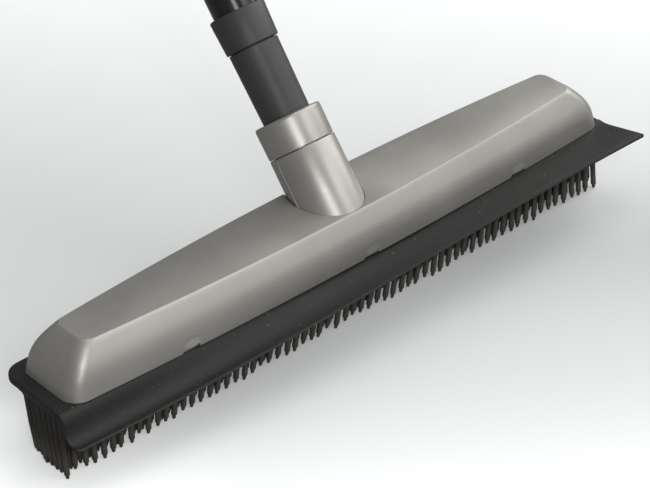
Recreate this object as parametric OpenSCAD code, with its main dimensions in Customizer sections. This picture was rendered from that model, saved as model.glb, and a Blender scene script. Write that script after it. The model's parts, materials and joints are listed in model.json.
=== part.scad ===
// Rubber broom: a moulded head with rubber bristles and a squeegee blade,
// a tilted clamping socket, and a twist-lock telescopic handle.
// Millimetres. +X runs along the head, -Y is the squeegee side, +Z is up.
// The origin is the middle of the bristle tips, where they stand on the floor.

/* [Housing] */
// Height of the housing's bottom edge above the bristle tips
housing_z = 38.7; // [34:0.1:44]
// Height of the housing from its bottom edge to its top face
housing_h = 22.5; // [20:0.5:28]
// Length along the bottom edge
housing_l = 320; // [290:5:420]
// Length along the top face
housing_top_l = 292; // [270:2:380]
// Width across each end at the bottom edge
housing_w = 37; // [34:0.2:40]
// Width across each end of the top face
housing_top_w = 21.2; // [18:0.2:26]
// How far each long side bows out at the middle of the bottom edge
housing_bow = 4.2; // [3:0.1:7]
// How far each long side of the top face bows out at the middle
top_bow = 6; // [4:0.1:7]
// Plan radius of the corners at the bottom edge
corner_r = 9; // [7:0.5:13]
// Plan radius of the corners of the top face
top_corner_r = 6; // [3:0.5:8]
// Wall of the moulding
housing_wall = 2.4; // [2:0.1:3]
// Thickness of the cross ribs inside
rib_t = 1.6; // [1:0.1:2.4]
// Depth of the cross ribs below the top wall
rib_drop = 9; // [5:0.5:11]
// Distance from the middle of the four ribs to each outer one
rib_reach = 101; // [90:1:110]
// Distance between the two ribs of a pair
rib_pair = 40; // [30:1:50]
// How far the four ribs sit to the right of the head's middle
rib_shift = 6; // [0:1:8]

/* [Snap fit] */
// How far the two outer clips sit from the head's middle
clip_pitch = 99; // [70:1:110]
// Place of the middle clip along the head
clip_middle = 3.7; // [-6:0.1:6]
// Width of each clip tongue
clip_w = 12; // [8:0.5:16]
// Thickness of each clip tongue
clip_t = 1.6; // [1.2:0.1:2]
// How far each hook catches in the wall
clip_catch = 0.7; // [0.4:0.1:0.9]
// Width of the release notches in the bottom edge
notch_w = 9; // [6:0.5:12]
// Thickness of the carrier plate
plate_t = 2.8; // [2:0.1:3.4]
// Clearance between the carrier plate and the housing wall
plate_clear = 0.25; // [0.15:0.05:0.5]

/* [Rubber base] */
// How far the lip reaches past the left end of the housing
lip_past_left = 6.5; // [4:0.5:9]
// How far the lip reaches past the right end of the housing
lip_past_right = 2.5; // [2:0.5:9]
// How far the lip reaches past the widest part of the housing's rear
lip_past_rear = 3.3; // [2:0.1:6]
// How far the blade's root lies behind the housing's front corners
root_behind = 1.5; // [0.5:0.1:2.5]
// Thickness of the lip
lip_t = 3.5; // [2.5:0.1:4.5]
// Plan radius of the lip's corners
lip_corner_r = 13; // [8:0.5:14]
// Gap between the lip and the housing's edge
lip_gap = 0.2; // [0.1:0.05:0.4]
// Diameter of the pull-through studs that hold the rubber to the carrier plate
stud_d = 7; // [5:0.5:8]
// Distance between neighbouring studs
stud_pitch = 46; // [42:1:50]

/* [Squeegee blade] */
// Width of the rubber sheet from its root to its edge, at the hanging end
blade_w = 20; // [16:0.2:24]
// How much wider the sheet is at the lifted end
blade_grow = 3.4; // [0:0.2:5]
// How far the free corner of the lifted end flares past the lip
blade_flare = 4.5; // [0:0.5:6]
// Thickness at the root
blade_root_t = 2.8; // [2:0.1:3.4]
// Thickness at the edge
blade_edge_t = 1.1; // [0.8:0.1:1.6]
// How far each end of the sheet stays in from the lip's end
blade_inset = 0; // [0:0.5:6]
// Rise of the sheet at its lifted end, in degrees
blade_rise = 6; // [0:1:10]
// Droop from there to the hanging end, in degrees
blade_hang = 100; // [50:1:105]
// Turn of the edge back up at the lifted end, in degrees
blade_curl = 2; // [0:1:20]
// Turn of the edge back up at the hanging end, in degrees
blade_curl_low = 37; // [20:1:45]
// Rounding of the sheet's free corners
blade_corner_r = 3; // [2:0.5:7]

/* [Bristles] */
// Rows across the head
bristle_rows = 7; // [5:2:7]
// Strands in each row
bristle_cols = 65; // [51:2:65]
// Distance between rows
row_pitch = 3.8; // [3.4:0.1:4]
// How far the strands' backing stays in from each end of the lip
backing_inset = 1.5; // [1.2:0.1:8]
// Width of a strand at its root
strand_root = 3; // [2:0.1:3.2]
// Width of a strand at its tip
strand_tip = 1.6; // [1:0.1:1.8]
// Thickness of the slice of backing that the strands grow from
backing_t = 3; // [2:0.1:4]
// How far the strands lean and differ from each other
strand_sway = 0.7; // [0:0.05:0.9]

/* [Socket] */
// Tilt of the handle back from upright, in degrees
handle_tilt = 38.1; // [34:0.1:42]
// Where the handle's axis meets the top face, behind the centre line
axis_y = 5; // [3:0.5:7]
// Length of the socket above the top face, along the axis
socket_len = 22.5; // [18:0.5:30]
// Diameter of the socket at its mouth
socket_d = 31.9; // [30:0.1:33]
// Growth of that diameter down to the foot
socket_flare = 0.8; // [0:0.1:1.4]
// Step between the front shell and the slimmer rear half
socket_step = 0.7; // [0.3:0.1:1.2]
// Height of the foot above the housing's bottom edge
foot_lift = 6.5; // [6:0.1:8]
// Thickness of the foot inside the housing
foot_t = 3; // [2:0.2:4]
// Width of the foot across its screws
foot_w = 66; // [60:1:76]
// Depth of the foot from front to rear
foot_deep = 24; // [20:1:26]
// Diameter of the foot's screws
screw_d = 3.5; // [3:0.1:4]

/* [Collars] */
// Dark gap below each collar
collar_gap = 0.9; // [0.5:0.1:1.5]
// Length of the socket collar
collar_len = 14.9; // [12:0.1:20]
// Diameter of the socket collar at its lower edge
collar_d = 29.9; // [29.4:0.1:31]
// Diameter of the socket collar at its upper edge
collar_top_d = 31.2; // [30.5:0.1:33]
// Wall of the threaded spigot inside the collar
spigot_wall = 1.5; // [1.2:0.1:1.6]
// Running clearance of every collar, sleeve and plug, on the radius
run_clear = 0.1; // [0.05:0.01:0.1]

/* [Ferrule] */
// Diameter of the plug end that sits in the socket
ferrule_d = 22.6; // [22:0.1:23.4]
// Diameter at the top, below the ferrule collar
ferrule_top_d = 23.8; // [23.4:0.1:24.6]
// Length that shows between the two collars
ferrule_len = 34.5; // [25:0.5:50]
// Wall of the ferrule
ferrule_wall = 2.4; // [1.8:0.1:2.6]
// Length of the spigot that the tube is pushed on
tube_grip_len = 42; // [30:1:60]
// Length of the ferrule collar
ring_len = 16.4; // [12:0.2:22]
// Diameter of the ferrule collar at its lower edge
ring_d = 25.4; // [25:0.1:26]
// Diameter of the ferrule collar at its upper edge
ring_top_d = 26.7; // [26:0.1:28]

/* [Handle] */
// Outer diameter of the lower tube
tube_d = 22; // [21:0.1:22.2]
// Length of the lower tube
tube_len = 640; // [400:10:900]
// Wall of both steel tubes
tube_wall = 0.8; // [0.6:0.1:1.2]
// Outer diameter of the upper tube
inner_d = 18.6; // [17:0.1:19]
// How far above the ferrule's spigot the upper tube's end rests when the handle is pushed in
upper_rest = 48; // [5:1:120]
// Diameter of the twist-lock collar
lock_d = 30; // [28:0.5:34]
// Length of the twist-lock collar
lock_len = 34; // [28:1:44]
// Diameter of the grip
grip_d = 27; // [25:0.5:32]
// Length of the grip
grip_len = 120; // [90:2:160]
// Number of grooves round the grip
grip_grooves = 11; // [5:1:15]
// Diameter of the hanging hole
hang_d = 10; // [8:0.5:12]
// Thickness of the tab round the hanging hole
hang_t = 9; // [6:0.5:12]

/* [Hidden] */

$fn = 64;
silver = [0.62, 0.61, 0.59];
charcoal = [0.16, 0.16, 0.16];
dark_grey = [0.27, 0.26, 0.26];
gloss_black = [0.06, 0.06, 0.06];
steel = [0.7, 0.7, 0.72];

side_steps = 10;
corner_steps = 5;
blade_steps = 8;
blade_stations = 32;

// Share of the height, then the share of the end and side insets reached there
moulding_profile = [[0, 0, 0], [0.19, 0.08, 0.05], [0.41, 0.2, 0.14], [0.59, 0.36, 0.29],
                    [0.73, 0.53, 0.49], [0.88, 0.76, 0.76], [0.97, 0.92, 0.93], [1, 1, 1]];
end_inset = [for (row = moulding_profile) [row[0], row[1]]];
side_inset = [for (row = moulding_profile) [row[0], row[2]]];

top_z = housing_z + housing_h;
ceiling_z = top_z - housing_wall;
lip_top = housing_z - lip_gap;
lip_z = lip_top - lip_t;
lip_low = -housing_l / 2 - lip_past_left;
lip_high = housing_l / 2 + lip_past_right;
lip_rear = housing_w / 2 + housing_bow + lip_past_rear;
lip_front = housing_w / 2 - root_behind;
root_z = lip_z - backing_t;
backing_edge = 0.6;
backing_low = lip_low + backing_inset;
backing_high = lip_high - backing_inset;
row_stagger = 0.3;
plate_top = lip_top + plate_t;
foot_z = housing_z + foot_lift;
rib_places = [for (side = [-1, 1]) for (d = [rib_reach, rib_reach - rib_pair]) rib_shift + side * d];
clip_places = [-clip_pitch, clip_middle, clip_pitch];
clip_top = plate_top + 5.2;
hook_h = 1.6;
hook_room = 0.3;
notch_h = 1.6;
notch_deep = 0.8;
stud_head = 2;
stud_lip = 1.5;
boss_d = 8;
blade_low = lip_low + blade_inset;
blade_high = lip_high - blade_inset;
blade_root_z = lip_top - blade_root_t / 2 - 0.2;
hang_falloff = 1.6;
bend_skew = 0.6;
flare_falloff = 12;
flare_curve = 1.5;

socket_r = socket_d / 2;
socket_low_r = socket_r + socket_flare / 2;
socket_front = axis_y - socket_low_r / cos(handle_tilt);
mount_clear = 0.15;
ferrule_r = ferrule_d / 2;
bore_r = ferrule_r + run_clear;
bore_low = -5;
body_low = -30;
spigot_r = bore_r + spigot_wall;
spigot_len = 9.5;
collar_low = socket_len + collar_gap;
collar_high = collar_low + collar_len;
collar_bore_r = spigot_r + run_clear;
collar_lip = 1.6;
collar_edge_r = 1.2;
collet_slit = 2;

ferrule_high = collar_high + ferrule_len;
ring_low = ferrule_high + collar_gap;
ring_high = ring_low + ring_len;
tube_r = tube_d / 2;
tube_bore_r = tube_r - tube_wall;
ring_floor = 5;
ring_lip = 2.2;
tube_low = ring_low + ring_floor;
tube_high = tube_low + tube_len;

inner_r = inner_d / 2;
sleeve_wall = 1.8;
sleeve_r = tube_r + sleeve_wall;
sleeve_grip = 26;
sleeve_low = tube_high - sleeve_grip;
sleeve_neck = 14;
sleeve_high = tube_high + sleeve_neck;
lock_r = lock_d / 2;
lock_low = tube_high - 14;
lock_high = lock_low + lock_len;
lock_lip = 2.2;
lock_cone_low = 3;
lock_cone_high = 1.2;
grip_low = lock_high + 1.5;
grip_high = grip_low + grip_len;
cap_len = 9;
inner_low = tube_low + tube_grip_len + upper_rest;
inner_high = grip_high - 2;
grip_r = grip_d / 2;
bush_len = 22;

// Points of an arc in the plan, anticlockwise from angle a to angle b
function arc(x, y, r, a, b) =
  [for (i = [0:corner_steps]) let (t = a + (b - a) * i / corner_steps) [x + r * cos(t), y + r * sin(t)]];

// Plan of the head at one height: two bowed long sides and four round corners
function bowed_plan(half_l, half_w, bow, r) =
  let (run = half_l - r,
       lean = atan(2 * bow / run),
       side = [for (i = [0:side_steps]) let (u = 2 * i / side_steps - 1)
         [run * u, half_w + bow * (1 - u * u)]])
  concat(
    [for (p = side) [p[0], -p[1]]],
    arc(run, r - half_w, r, lean - 90, 0),
    arc(run, half_w - r, r, 0, 90 - lean),
    [for (p = side) [-p[0], p[1]]],
    arc(-run, half_w - r, r, 90 + lean, 180),
    arc(-run, r - half_w, r, 180, 270 - lean));

// Sizes of the moulding at a share t of its height, drawn in by a wall
function half_l_at(t) = housing_l / 2 - (housing_l - housing_top_l) / 2 * lookup(t, end_inset);
function half_w_at(t) = housing_w / 2 - (housing_w - housing_top_w) / 2 * lookup(t, side_inset);
function corner_at(t) = corner_r + (top_corner_r - corner_r) * t;
function bow_at(t) = housing_bow + (top_bow - housing_bow) * t;
function moulding_ring(t, wall, z) =
  let (r = max(corner_at(t) - wall, 2),
       plan = bowed_plan(half_l_at(t) - wall, half_w_at(t) - wall, bow_at(t), r))
  [for (p = plan) [p[0], p[1], z]];

// Half width of the moulding at a place along it and a height in it
function side_at(x, z) =
  let (t = (z - housing_z) / housing_h, run = half_l_at(t) - corner_at(t))
  half_w_at(t) + bow_at(t) * (1 - pow(x / run, 2));

function running_sum(v, i = 0, total = 0) =
  i == len(v) ? [total] : concat([total], running_sum(v, i + 1, total + v[i]));

// A closed solid through rings of points that have the same count
module loft(rings) {
  n = len(rings[0]);
  last = len(rings) - 1;
  walls = [for (k = [0:last - 1]) for (i = [0:n - 1])
    [k * n + i, (k + 1) * n + i, (k + 1) * n + (i + 1) % n, k * n + (i + 1) % n]];
  lower_cap = [for (i = [0:n - 1]) i];
  upper_cap = [for (i = [n - 1:-1:0]) last * n + i];
  polyhedron(points = [for (ring = rings) for (p = ring) p],
             faces = concat(walls, [lower_cap], [upper_cap]), convexity = 6);
}

// Places its children along the handle's axis, s above the housing's top face
module on_axis(s = 0) {
  translate([0, axis_y, top_z]) rotate([-handle_tilt, 0, 0]) translate([0, 0, s]) children();
}

// A turned piece on the handle's axis from points of radius and place
module turned(profile) {
  on_axis() rotate_extrude() polygon(profile);
}

// The moulding's solid shape, drawn in by a wall and closed at a height
module moulding(wall, low, high) {
  loft(concat(
    [moulding_ring(0, wall, low)],
    [for (row = moulding_profile)
      moulding_ring(row[0], wall, housing_z + row[0] * (high - housing_z))]));
}

// The socket's two halves, grown by a clearance
module socket_halves(clear, low, high) {
  on_axis() {
    translate([0, 0, low])
      cylinder(h = high - low, r = socket_r - socket_step + clear);
    intersection() {
      translate([0, 0, low]) cylinder(h = high - low, r1 = socket_low_r + clear, r2 = socket_r + clear);
      translate([-socket_d, -2 * socket_d, low - 1]) cube([2 * socket_d, 2 * socket_d, high - low + 2]);
    }
  }
}

// The same halves, cut upright where they pass through the housing's top face
module socket_body(clear, low, high) {
  intersection() {
    socket_halves(clear, low, high);
    translate([-2 * socket_d, socket_front - clear, foot_z])
      cube([4 * socket_d, 4 * socket_d, 4 * socket_d]);
  }
}

module foot_places() {
  for (x = [-1, 1]) for (y = [-1, 1])
    translate([x * (foot_w / 2 - 6), y * (foot_deep / 2 - 5), 0]) children();
}

module cross_rib(x) {
  low = ceiling_z - rib_drop;
  grip_in = housing_wall / 2;
  a = side_at(x, low) - grip_in;
  b = side_at(x, ceiling_z) - grip_in;
  translate([x - rib_t / 2, 0, 0]) rotate([90, 0, 90]) linear_extrude(rib_t)
    polygon([[-a, low], [a, low], [b, ceiling_z + grip_in], [-b, ceiling_z + grip_in]]);
}

// Pocket in the wall that a hook catches in, and the release notch below it
module snap_pocket(x) {
  hook_z = clip_top - hook_h - hook_room;
  pocket_y = side_at(x, hook_z) - housing_wall;
  notch_y = side_at(x, housing_z) - notch_deep;
  translate([x - clip_w / 2 - 1, pocket_y - 2, hook_z])
    cube([clip_w + 2, 2 + clip_catch + hook_room, hook_h + 2 * hook_room]);
  translate([x - notch_w / 2, notch_y, housing_z - 1]) cube([notch_w, 2, notch_h + 1]);
}

module head_housing() {
  boss_z = foot_z + foot_t;
  color(silver) difference() {
    union() {
      difference() {
        moulding(0, housing_z, top_z);
        moulding(housing_wall, housing_z - 1, ceiling_z);
      }
      for (x = rib_places) cross_rib(x);
      foot_places() translate([0, 0, boss_z]) cylinder(h = ceiling_z - boss_z + 1, d = boss_d);
    }
    socket_body(mount_clear, body_low, socket_len);
    foot_places() translate([0, 0, boss_z - 1]) cylinder(h = boss_d + 1, d = screw_d - 0.5);
    for (x = clip_places) for (side = [0, 1]) mirror([0, side, 0]) snap_pocket(x);
  }
}

module handle_socket() {
  color(silver) difference() {
    union() {
      socket_body(0, body_low, socket_len);
      on_axis(socket_len - 1) cylinder(h = spigot_len + 1, r = spigot_r);
      translate([-foot_w / 2, -foot_deep / 2, foot_z]) cube([foot_w, foot_deep, foot_t]);
    }
    on_axis(bore_low) cylinder(h = socket_len + spigot_len - bore_low + 1, r = bore_r);
    foot_places() translate([0, 0, foot_z - 1]) cylinder(h = foot_t + 2, d = screw_d + 0.4);
  }
}

module foot_screws() {
  head_h = 0.6 * screw_d;
  color(steel) foot_places() translate([0, 0, foot_z - head_h]) {
    cylinder(h = head_h, d = 2 * screw_d);
    cylinder(h = head_h + foot_t + boss_d - 1, d = screw_d - 0.5);
  }
}

module stud_places() {
  for (i = [-3:3]) translate([i * stud_pitch, 0, 0]) children();
}

// A tongue that rises from the carrier plate and hooks into the housing's wall
module snap_tongue(x) {
  out = side_at(x, clip_top) - housing_wall - plate_clear;
  catch_z = clip_top - hook_h;
  translate([x - clip_w / 2, 0, 0]) rotate([90, 0, 90]) linear_extrude(clip_w)
    polygon([[out - clip_t, lip_top + 1], [out, lip_top + 1], [out, catch_z],
             [out + plate_clear + clip_catch, catch_z], [out - clip_t / 2, clip_top],
             [out - clip_t, clip_top]]);
}

module carrier_plate() {
  inset = housing_wall + plate_clear + 0.6;
  outline = bowed_plan(half_l_at(0) - inset, half_w_at(0) - inset, housing_bow, corner_r - inset);
  rib_start = foot_w / 2 + 6;
  rib_end = housing_l / 2 - 30;
  color(dark_grey) difference() {
    union() {
      translate([0, 0, lip_top]) linear_extrude(plate_t) polygon(outline);
      for (x = clip_places) for (side = [0, 1]) mirror([0, side, 0]) snap_tongue(x);
      for (side = [0, 1]) for (y = [-7.5, 7.5]) mirror([side, 0, 0])
        translate([rib_start, y - rib_t / 2, lip_top + 1]) cube([rib_end - rib_start, rib_t, plate_t + 2]);
    }
    stud_places() translate([0, 0, lip_top - 1]) cylinder(h = plate_t + 2, d = stud_d + 0.3);
  }
}

// Plan of the rubber base: straight front for the blade, round rear corners
function lip_plan(inset, z) =
  let (low = lip_low + inset, high = lip_high - inset, rear = lip_rear - inset,
       r = lip_corner_r - inset, front_r = 0.4)
  [for (p = concat(arc(high - front_r, front_r - lip_front, front_r, -90, 0),
                   arc(high - r, rear - r, r, 0, 90),
                   arc(low + r, rear - r, r, 90, 180),
                   arc(low + front_r, front_r - lip_front, front_r, 180, 270))) [p[0], p[1], z]];

module rubber_base() {
  edge = lip_t / 4;
  color(charcoal) union() {
    loft([lip_plan(edge, lip_z), lip_plan(0, lip_z + edge),
          lip_plan(0, lip_top - edge), lip_plan(edge, lip_top)]);
    stud_places() {
      translate([0, 0, lip_top - 1]) cylinder(h = plate_t + 1, d = stud_d);
      translate([0, 0, plate_top]) cylinder(h = stud_head, d1 = stud_d + 2 * stud_lip, d2 = stud_d);
    }
  }
}

// Slope of the sheet below level, at u along the head and t from root to edge
function blade_slope(u, t) =
  (blade_hang * pow(1 - u, hang_falloff) - blade_rise) * sin(180 * pow(t, bend_skew))
  - (blade_curl + (blade_curl_low - blade_curl) * (1 - u)) * t;

// Width of the sheet at u along the head and a distance from its nearer end, with the corner rounded
function blade_reach(u, d) =
  let (short = max(blade_corner_r - d, 0))
  blade_w + blade_grow * u - blade_corner_r + sqrt(pow(blade_corner_r, 2) - pow(short, 2));

// One cross section of the blade: over the top to the edge and back underneath
function blade_section(x) =
  let (u = (x - blade_low) / (blade_high - blade_low),
       step = blade_reach(u, min(x - blade_low, blade_high - x)) / blade_steps,
       slopes = [for (i = [0:blade_steps - 1]) blade_slope(u, (i + 0.5) / blade_steps)],
       out = running_sum([for (a = slopes) -step * cos(a)]),
       rise = running_sum([for (a = slopes) -step * sin(a)]),
       sheet = [for (i = [0:blade_steps])
         let (t = i / blade_steps,
              a = blade_slope(u, t),
              half_t = (blade_root_t + (blade_edge_t - blade_root_t) * t) / 2)
         [out[i] - lip_front, blade_root_z + rise[i], -sin(a) * half_t, cos(a) * half_t,
          x + blade_flare * pow(u, flare_falloff) * pow(t, flare_curve)]])
  concat([for (p = sheet) [p[4], p[0] + p[2], p[1] + p[3]]],
         [for (i = [blade_steps:-1:0]) let (p = sheet[i]) [p[4], p[0] - p[2], p[1] - p[3]]]);

// Stations along the blade, closer together at its two rounded corners
function blade_station(i) =
  (blade_low + blade_high - (blade_high - blade_low) * cos(180 * i / blade_stations)) / 2;

module squeegee_blade() {
  color(charcoal) loft([for (i = [0:blade_stations]) blade_section(blade_station(i))]);
}

// One closed solid: the strands, and the slice of backing that they grow from
module bristles() {
  n = 2 * bristle_cols + 2;
  half_root = strand_root / 2;
  half_tip = strand_tip / 2;
  mid_col = (bristle_cols - 1) / 2;
  mid_row = (bristle_rows - 1) / 2;
  low_pitch = (-backing_low - backing_edge - half_root) / mid_col;
  high_pitch = (backing_high - backing_edge - half_root) / (mid_col + row_stagger);
  slab_y = mid_row * row_pitch + half_root + backing_edge;
  function stagger(j) = row_stagger * abs(sin(90 * (j - mid_row)));
  function strand_x(j, i) = let (k = i - mid_col + stagger(j)) k * (k < 0 ? low_pitch : high_pitch);
  function row_y(j) = (j - mid_row) * row_pitch;
  function row_line(j, y) = concat(
    [[backing_low, y, root_z]],
    [for (i = [0:bristle_cols - 1]) for (s = [-1, 1]) [strand_x(j, i) + s * half_root, y, root_z]],
    [[backing_high, y, root_z]]);
  function sway_x(j, i) = strand_sway * sin(137 * (i - mid_col) + 61 * (j - mid_row));
  function sway_y(j, i) = strand_sway * sin(83 * (i - mid_col) - 149 * (j - mid_row));
  function tip_z(j, i) = max(0, 1.2 * sin(211 * (i - mid_col) + 97 * (j - mid_row)));
  function tip(j, i) =
    let (x = strand_x(j, i) + sway_x(j, i), y = row_y(j) + sway_y(j, i), z = tip_z(j, i))
    [[x - half_tip, y - half_tip, z], [x + half_tip, y - half_tip, z],
     [x + half_tip, y + half_tip, z], [x - half_tip, y + half_tip, z]];
  function low(j, k) = 2 * j * n + k;
  function high(j, k) = (2 * j + 1) * n + k;
  tips_at = 2 * bristle_rows * n;
  function tip_at(j, i, c) = tips_at + 4 * (j * bristle_cols + i) + c;
  slab_at = tips_at + 4 * bristle_rows * bristle_cols;
  rows = [0:bristle_rows - 1];
  cols = [0:bristle_cols - 1];
  slab_corners = [[backing_low, -slab_y], [backing_high, -slab_y],
                  [backing_high, slab_y], [backing_low, slab_y]];
  points = concat(
    [for (j = rows) for (s = [-1, 1]) for (p = row_line(j, row_y(j) + s * half_root)) p],
    [for (j = rows) for (i = cols) for (p = tip(j, i)) p],
    [for (z = [root_z, lip_z]) for (c = slab_corners) [c[0], c[1], z]]);
  strand_faces = [for (j = rows) for (i = cols) let (k = 2 * i + 1) each
    [[low(j, k), low(j, k + 1), tip_at(j, i, 1), tip_at(j, i, 0)],
     [low(j, k + 1), high(j, k + 1), tip_at(j, i, 2), tip_at(j, i, 1)],
     [high(j, k + 1), high(j, k), tip_at(j, i, 3), tip_at(j, i, 2)],
     [high(j, k), low(j, k), tip_at(j, i, 0), tip_at(j, i, 3)],
     [tip_at(j, i, 0), tip_at(j, i, 1), tip_at(j, i, 2), tip_at(j, i, 3)]]];
  gap_faces = [for (j = rows) for (i = [0:bristle_cols])
    [low(j, 2 * i), low(j, 2 * i + 1), high(j, 2 * i + 1), high(j, 2 * i)]];
  row_faces = [for (j = [0:bristle_rows - 2]) for (k = [0:n - 2])
    [high(j, k), high(j, k + 1), low(j + 1, k + 1), low(j + 1, k)]];
  front_line = concat([slab_at + 1], [for (k = [n - 1:-1:0]) low(0, k)]);
  rear_line = concat([slab_at + 3], [for (k = [0:n - 1]) high(bristle_rows - 1, k)]);
  right_line = concat([slab_at + 6, slab_at + 2],
    [for (j = [bristle_rows - 1:-1:0]) each [high(j, n - 1), low(j, n - 1)]], [slab_at + 1]);
  left_line = concat([slab_at + 4, slab_at], [for (j = rows) each [low(j, 0), high(j, 0)]], [slab_at + 3]);
  function fan(hub, line) = [for (i = [0:len(line) - 2]) [hub, line[i], line[i + 1]]];
  block_faces = concat(fan(slab_at, front_line), fan(slab_at + 2, rear_line),
    fan(slab_at + 5, right_line), fan(slab_at + 7, left_line),
    [[slab_at + 4, slab_at + 5, slab_at + 1, slab_at],
    [slab_at + 6, slab_at + 7, slab_at + 3, slab_at + 2],
    [slab_at + 4, slab_at + 7, slab_at + 6, slab_at + 5]]);
  color(charcoal) polyhedron(points = points,
    faces = concat(strand_faces, gap_faces, row_faces, block_faces), convexity = 10);
}

// A split ring on the handle's axis that a collar squeezes shut
module collet(low, high, r_in, r_low, r_high) {
  difference() {
    turned([[r_in, low], [r_low, low], [r_high, high], [r_in, high]]);
    on_axis(low - 1) translate([-collet_slit / 2, 0, 0]) cube([collet_slit, 3 * r_low, high - low + 2]);
  }
}

module socket_collet() {
  low = socket_len + spigot_len + 0.1;
  color(dark_grey) collet(low, collar_high - collar_lip - 0.1, bore_r, spigot_r - 0.1, spigot_r - 0.5);
}

module socket_collar() {
  r_low = collar_d / 2;
  r_high = collar_top_d / 2;
  mouth = bore_r + 0.3;
  color(silver) turned([
    [collar_bore_r, collar_low], [r_low, collar_low],
    [r_high, collar_high - collar_edge_r],
    [r_high - collar_edge_r * 0.3, collar_high - collar_edge_r * 0.3],
    [r_high - collar_edge_r, collar_high],
    [mouth, collar_high], [mouth, collar_high - collar_lip],
    [collar_bore_r, collar_high - collar_lip]]);
}

module ferrule() {
  inside = ferrule_r - ferrule_wall;
  neck = tube_bore_r - run_clear;
  neck_high = tube_low + tube_grip_len;
  neck_inside = neck - ferrule_wall;
  plug_low = bore_low + 0.3;
  edge = 0.8;
  color(dark_grey) turned([
    [inside, plug_low], [ferrule_r - edge, plug_low], [ferrule_r, plug_low + edge],
    [ferrule_r, collar_high], [ferrule_top_d / 2, ferrule_high], [neck, ferrule_high],
    [neck, neck_high - edge], [neck - edge, neck_high],
    [neck_inside, neck_high], [neck_inside, collar_high], [inside, collar_high]]);
}

module ferrule_collet() {
  high = ring_high - ring_lip - 0.2;
  color(dark_grey) collet(tube_low + 0.2, high, tube_r + 0.02, tube_r + 1, tube_r + 0.7);
}

module ferrule_collar() {
  r_low = ring_d / 2;
  r_high = ring_top_d / 2;
  bore = tube_r + 1 + run_clear;
  mouth = tube_r + 0.15;
  floor_high = tube_low - 0.3;
  edge = 0.6;
  color(dark_grey) turned([
    [tube_bore_r, ring_low], [r_low, ring_low], [r_high, ring_high - edge],
    [r_high - edge, ring_high], [mouth, ring_high], [mouth, ring_high - ring_lip],
    [bore, ring_high - ring_lip], [bore, floor_high], [tube_bore_r, floor_high]]);
}

module tube(low, high, r) {
  on_axis(low) difference() {
    cylinder(h = high - low, r = r);
    translate([0, 0, -1]) cylinder(h = high - low + 2, r = r - tube_wall);
  }
}

module lower_tube() {
  color(gloss_black) tube(tube_low, tube_high, tube_r);
}

// Moulded sleeve bonded on the lower tube's end, with the neck that the collar turns on
module lock_sleeve() {
  mouth = inner_r + run_clear;
  shoulder = lock_low - 1;
  shoulder_r = sleeve_r + 0.6;
  cone_low = tube_high + 6;
  color(dark_grey) turned([
    [tube_r, sleeve_low], [sleeve_r, sleeve_low + 1.5], [shoulder_r, shoulder - 1],
    [shoulder_r, shoulder], [sleeve_r, shoulder], [sleeve_r, cone_low - 2],
    [tube_r, cone_low], [mouth + 2.2, sleeve_high], [mouth + 1, sleeve_high],
    [mouth, cone_low], [mouth, tube_high + 0.1], [tube_r, tube_high + 0.1]]);
}

module lock_collet() {
  mouth = inner_r + run_clear;
  color(dark_grey) collet(sleeve_high + 0.2, lock_high - lock_lip - 0.2,
    mouth, mouth + lock_cone_low, mouth + lock_cone_high);
}

module lock_collar() {
  bore = sleeve_r + run_clear;
  mouth = inner_r + run_clear + 0.2;
  cone_r = inner_r + run_clear + lock_cone_high + 0.25;
  flutes = 16;
  flute_r = 2;
  color(dark_grey) difference() {
    turned([
      [bore, lock_low], [lock_r - 1, lock_low], [lock_r, lock_low + 1.5],
      [lock_r - 0.8, lock_high - 3], [lock_r - 3, lock_high],
      [mouth, lock_high], [mouth, lock_high - lock_lip],
      [cone_r, lock_high - lock_lip], [bore, sleeve_high + 0.2]]);
    for (i = [0:flutes - 1]) on_axis(lock_low + 4) rotate([0, 0, i * 360 / flutes])
      translate([lock_r + 0.4 * flute_r, 0, 0]) cylinder(h = lock_len, r = flute_r);
  }
}

module upper_tube() {
  color(gloss_black) tube(inner_low, inner_high, inner_r);
}

module slide_bush() {
  sliding_r = tube_bore_r - run_clear;
  pushed_r = inner_r - tube_wall - 0.02;
  inside = pushed_r - 1.8;
  flange_low = inner_low - 3;
  color(dark_grey) turned([
    [inside, flange_low], [sliding_r - 0.7, flange_low], [sliding_r, flange_low + 1],
    [sliding_r, inner_low - 0.1], [pushed_r, inner_low - 0.1],
    [pushed_r, inner_low + bush_len], [inside, inner_low + bush_len]]);
}

module grip() {
  step = (grip_len - 24) / grip_grooves;
  floor_r = grip_r - 1;
  grooves = [for (i = [0:grip_grooves - 1]) let (s = grip_low + 12 + i * step) each
    [[grip_r, s], [floor_r, s + step * 0.2], [floor_r, s + step * 0.4], [grip_r, s + step * 0.6]]];
  color(charcoal) turned(concat(
    [[inner_r, grip_low], [grip_r - 2, grip_low], [grip_r - 0.6, grip_low + 1], [grip_r, grip_low + 3]],
    grooves,
    [[grip_r, grip_high - 1], [grip_r - 1, grip_high], [inner_r, grip_high]]));
}

module end_cap() {
  tab_r = grip_r - 2;
  plug_r = inner_r - tube_wall - 0.02;
  cap_low = grip_high + 0.1;
  cap_high = grip_high + cap_len;
  plug_low = inner_high - 14;
  eye = cap_high + hang_d / 2 + 1.5;
  color(dark_grey) difference() {
    union() {
      turned([[0, plug_low], [plug_r, plug_low], [plug_r, cap_low], [grip_r, cap_low],
              [grip_r, cap_low + 3], [grip_r - 3, cap_high], [0, cap_high]]);
      on_axis(eye) rotate([90, 0, 0]) cylinder(h = hang_t, r = tab_r, center = true);
    }
    on_axis(eye) rotate([90, 0, 0]) cylinder(h = 2 * hang_t, d = hang_d, center = true);
  }
}

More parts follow.
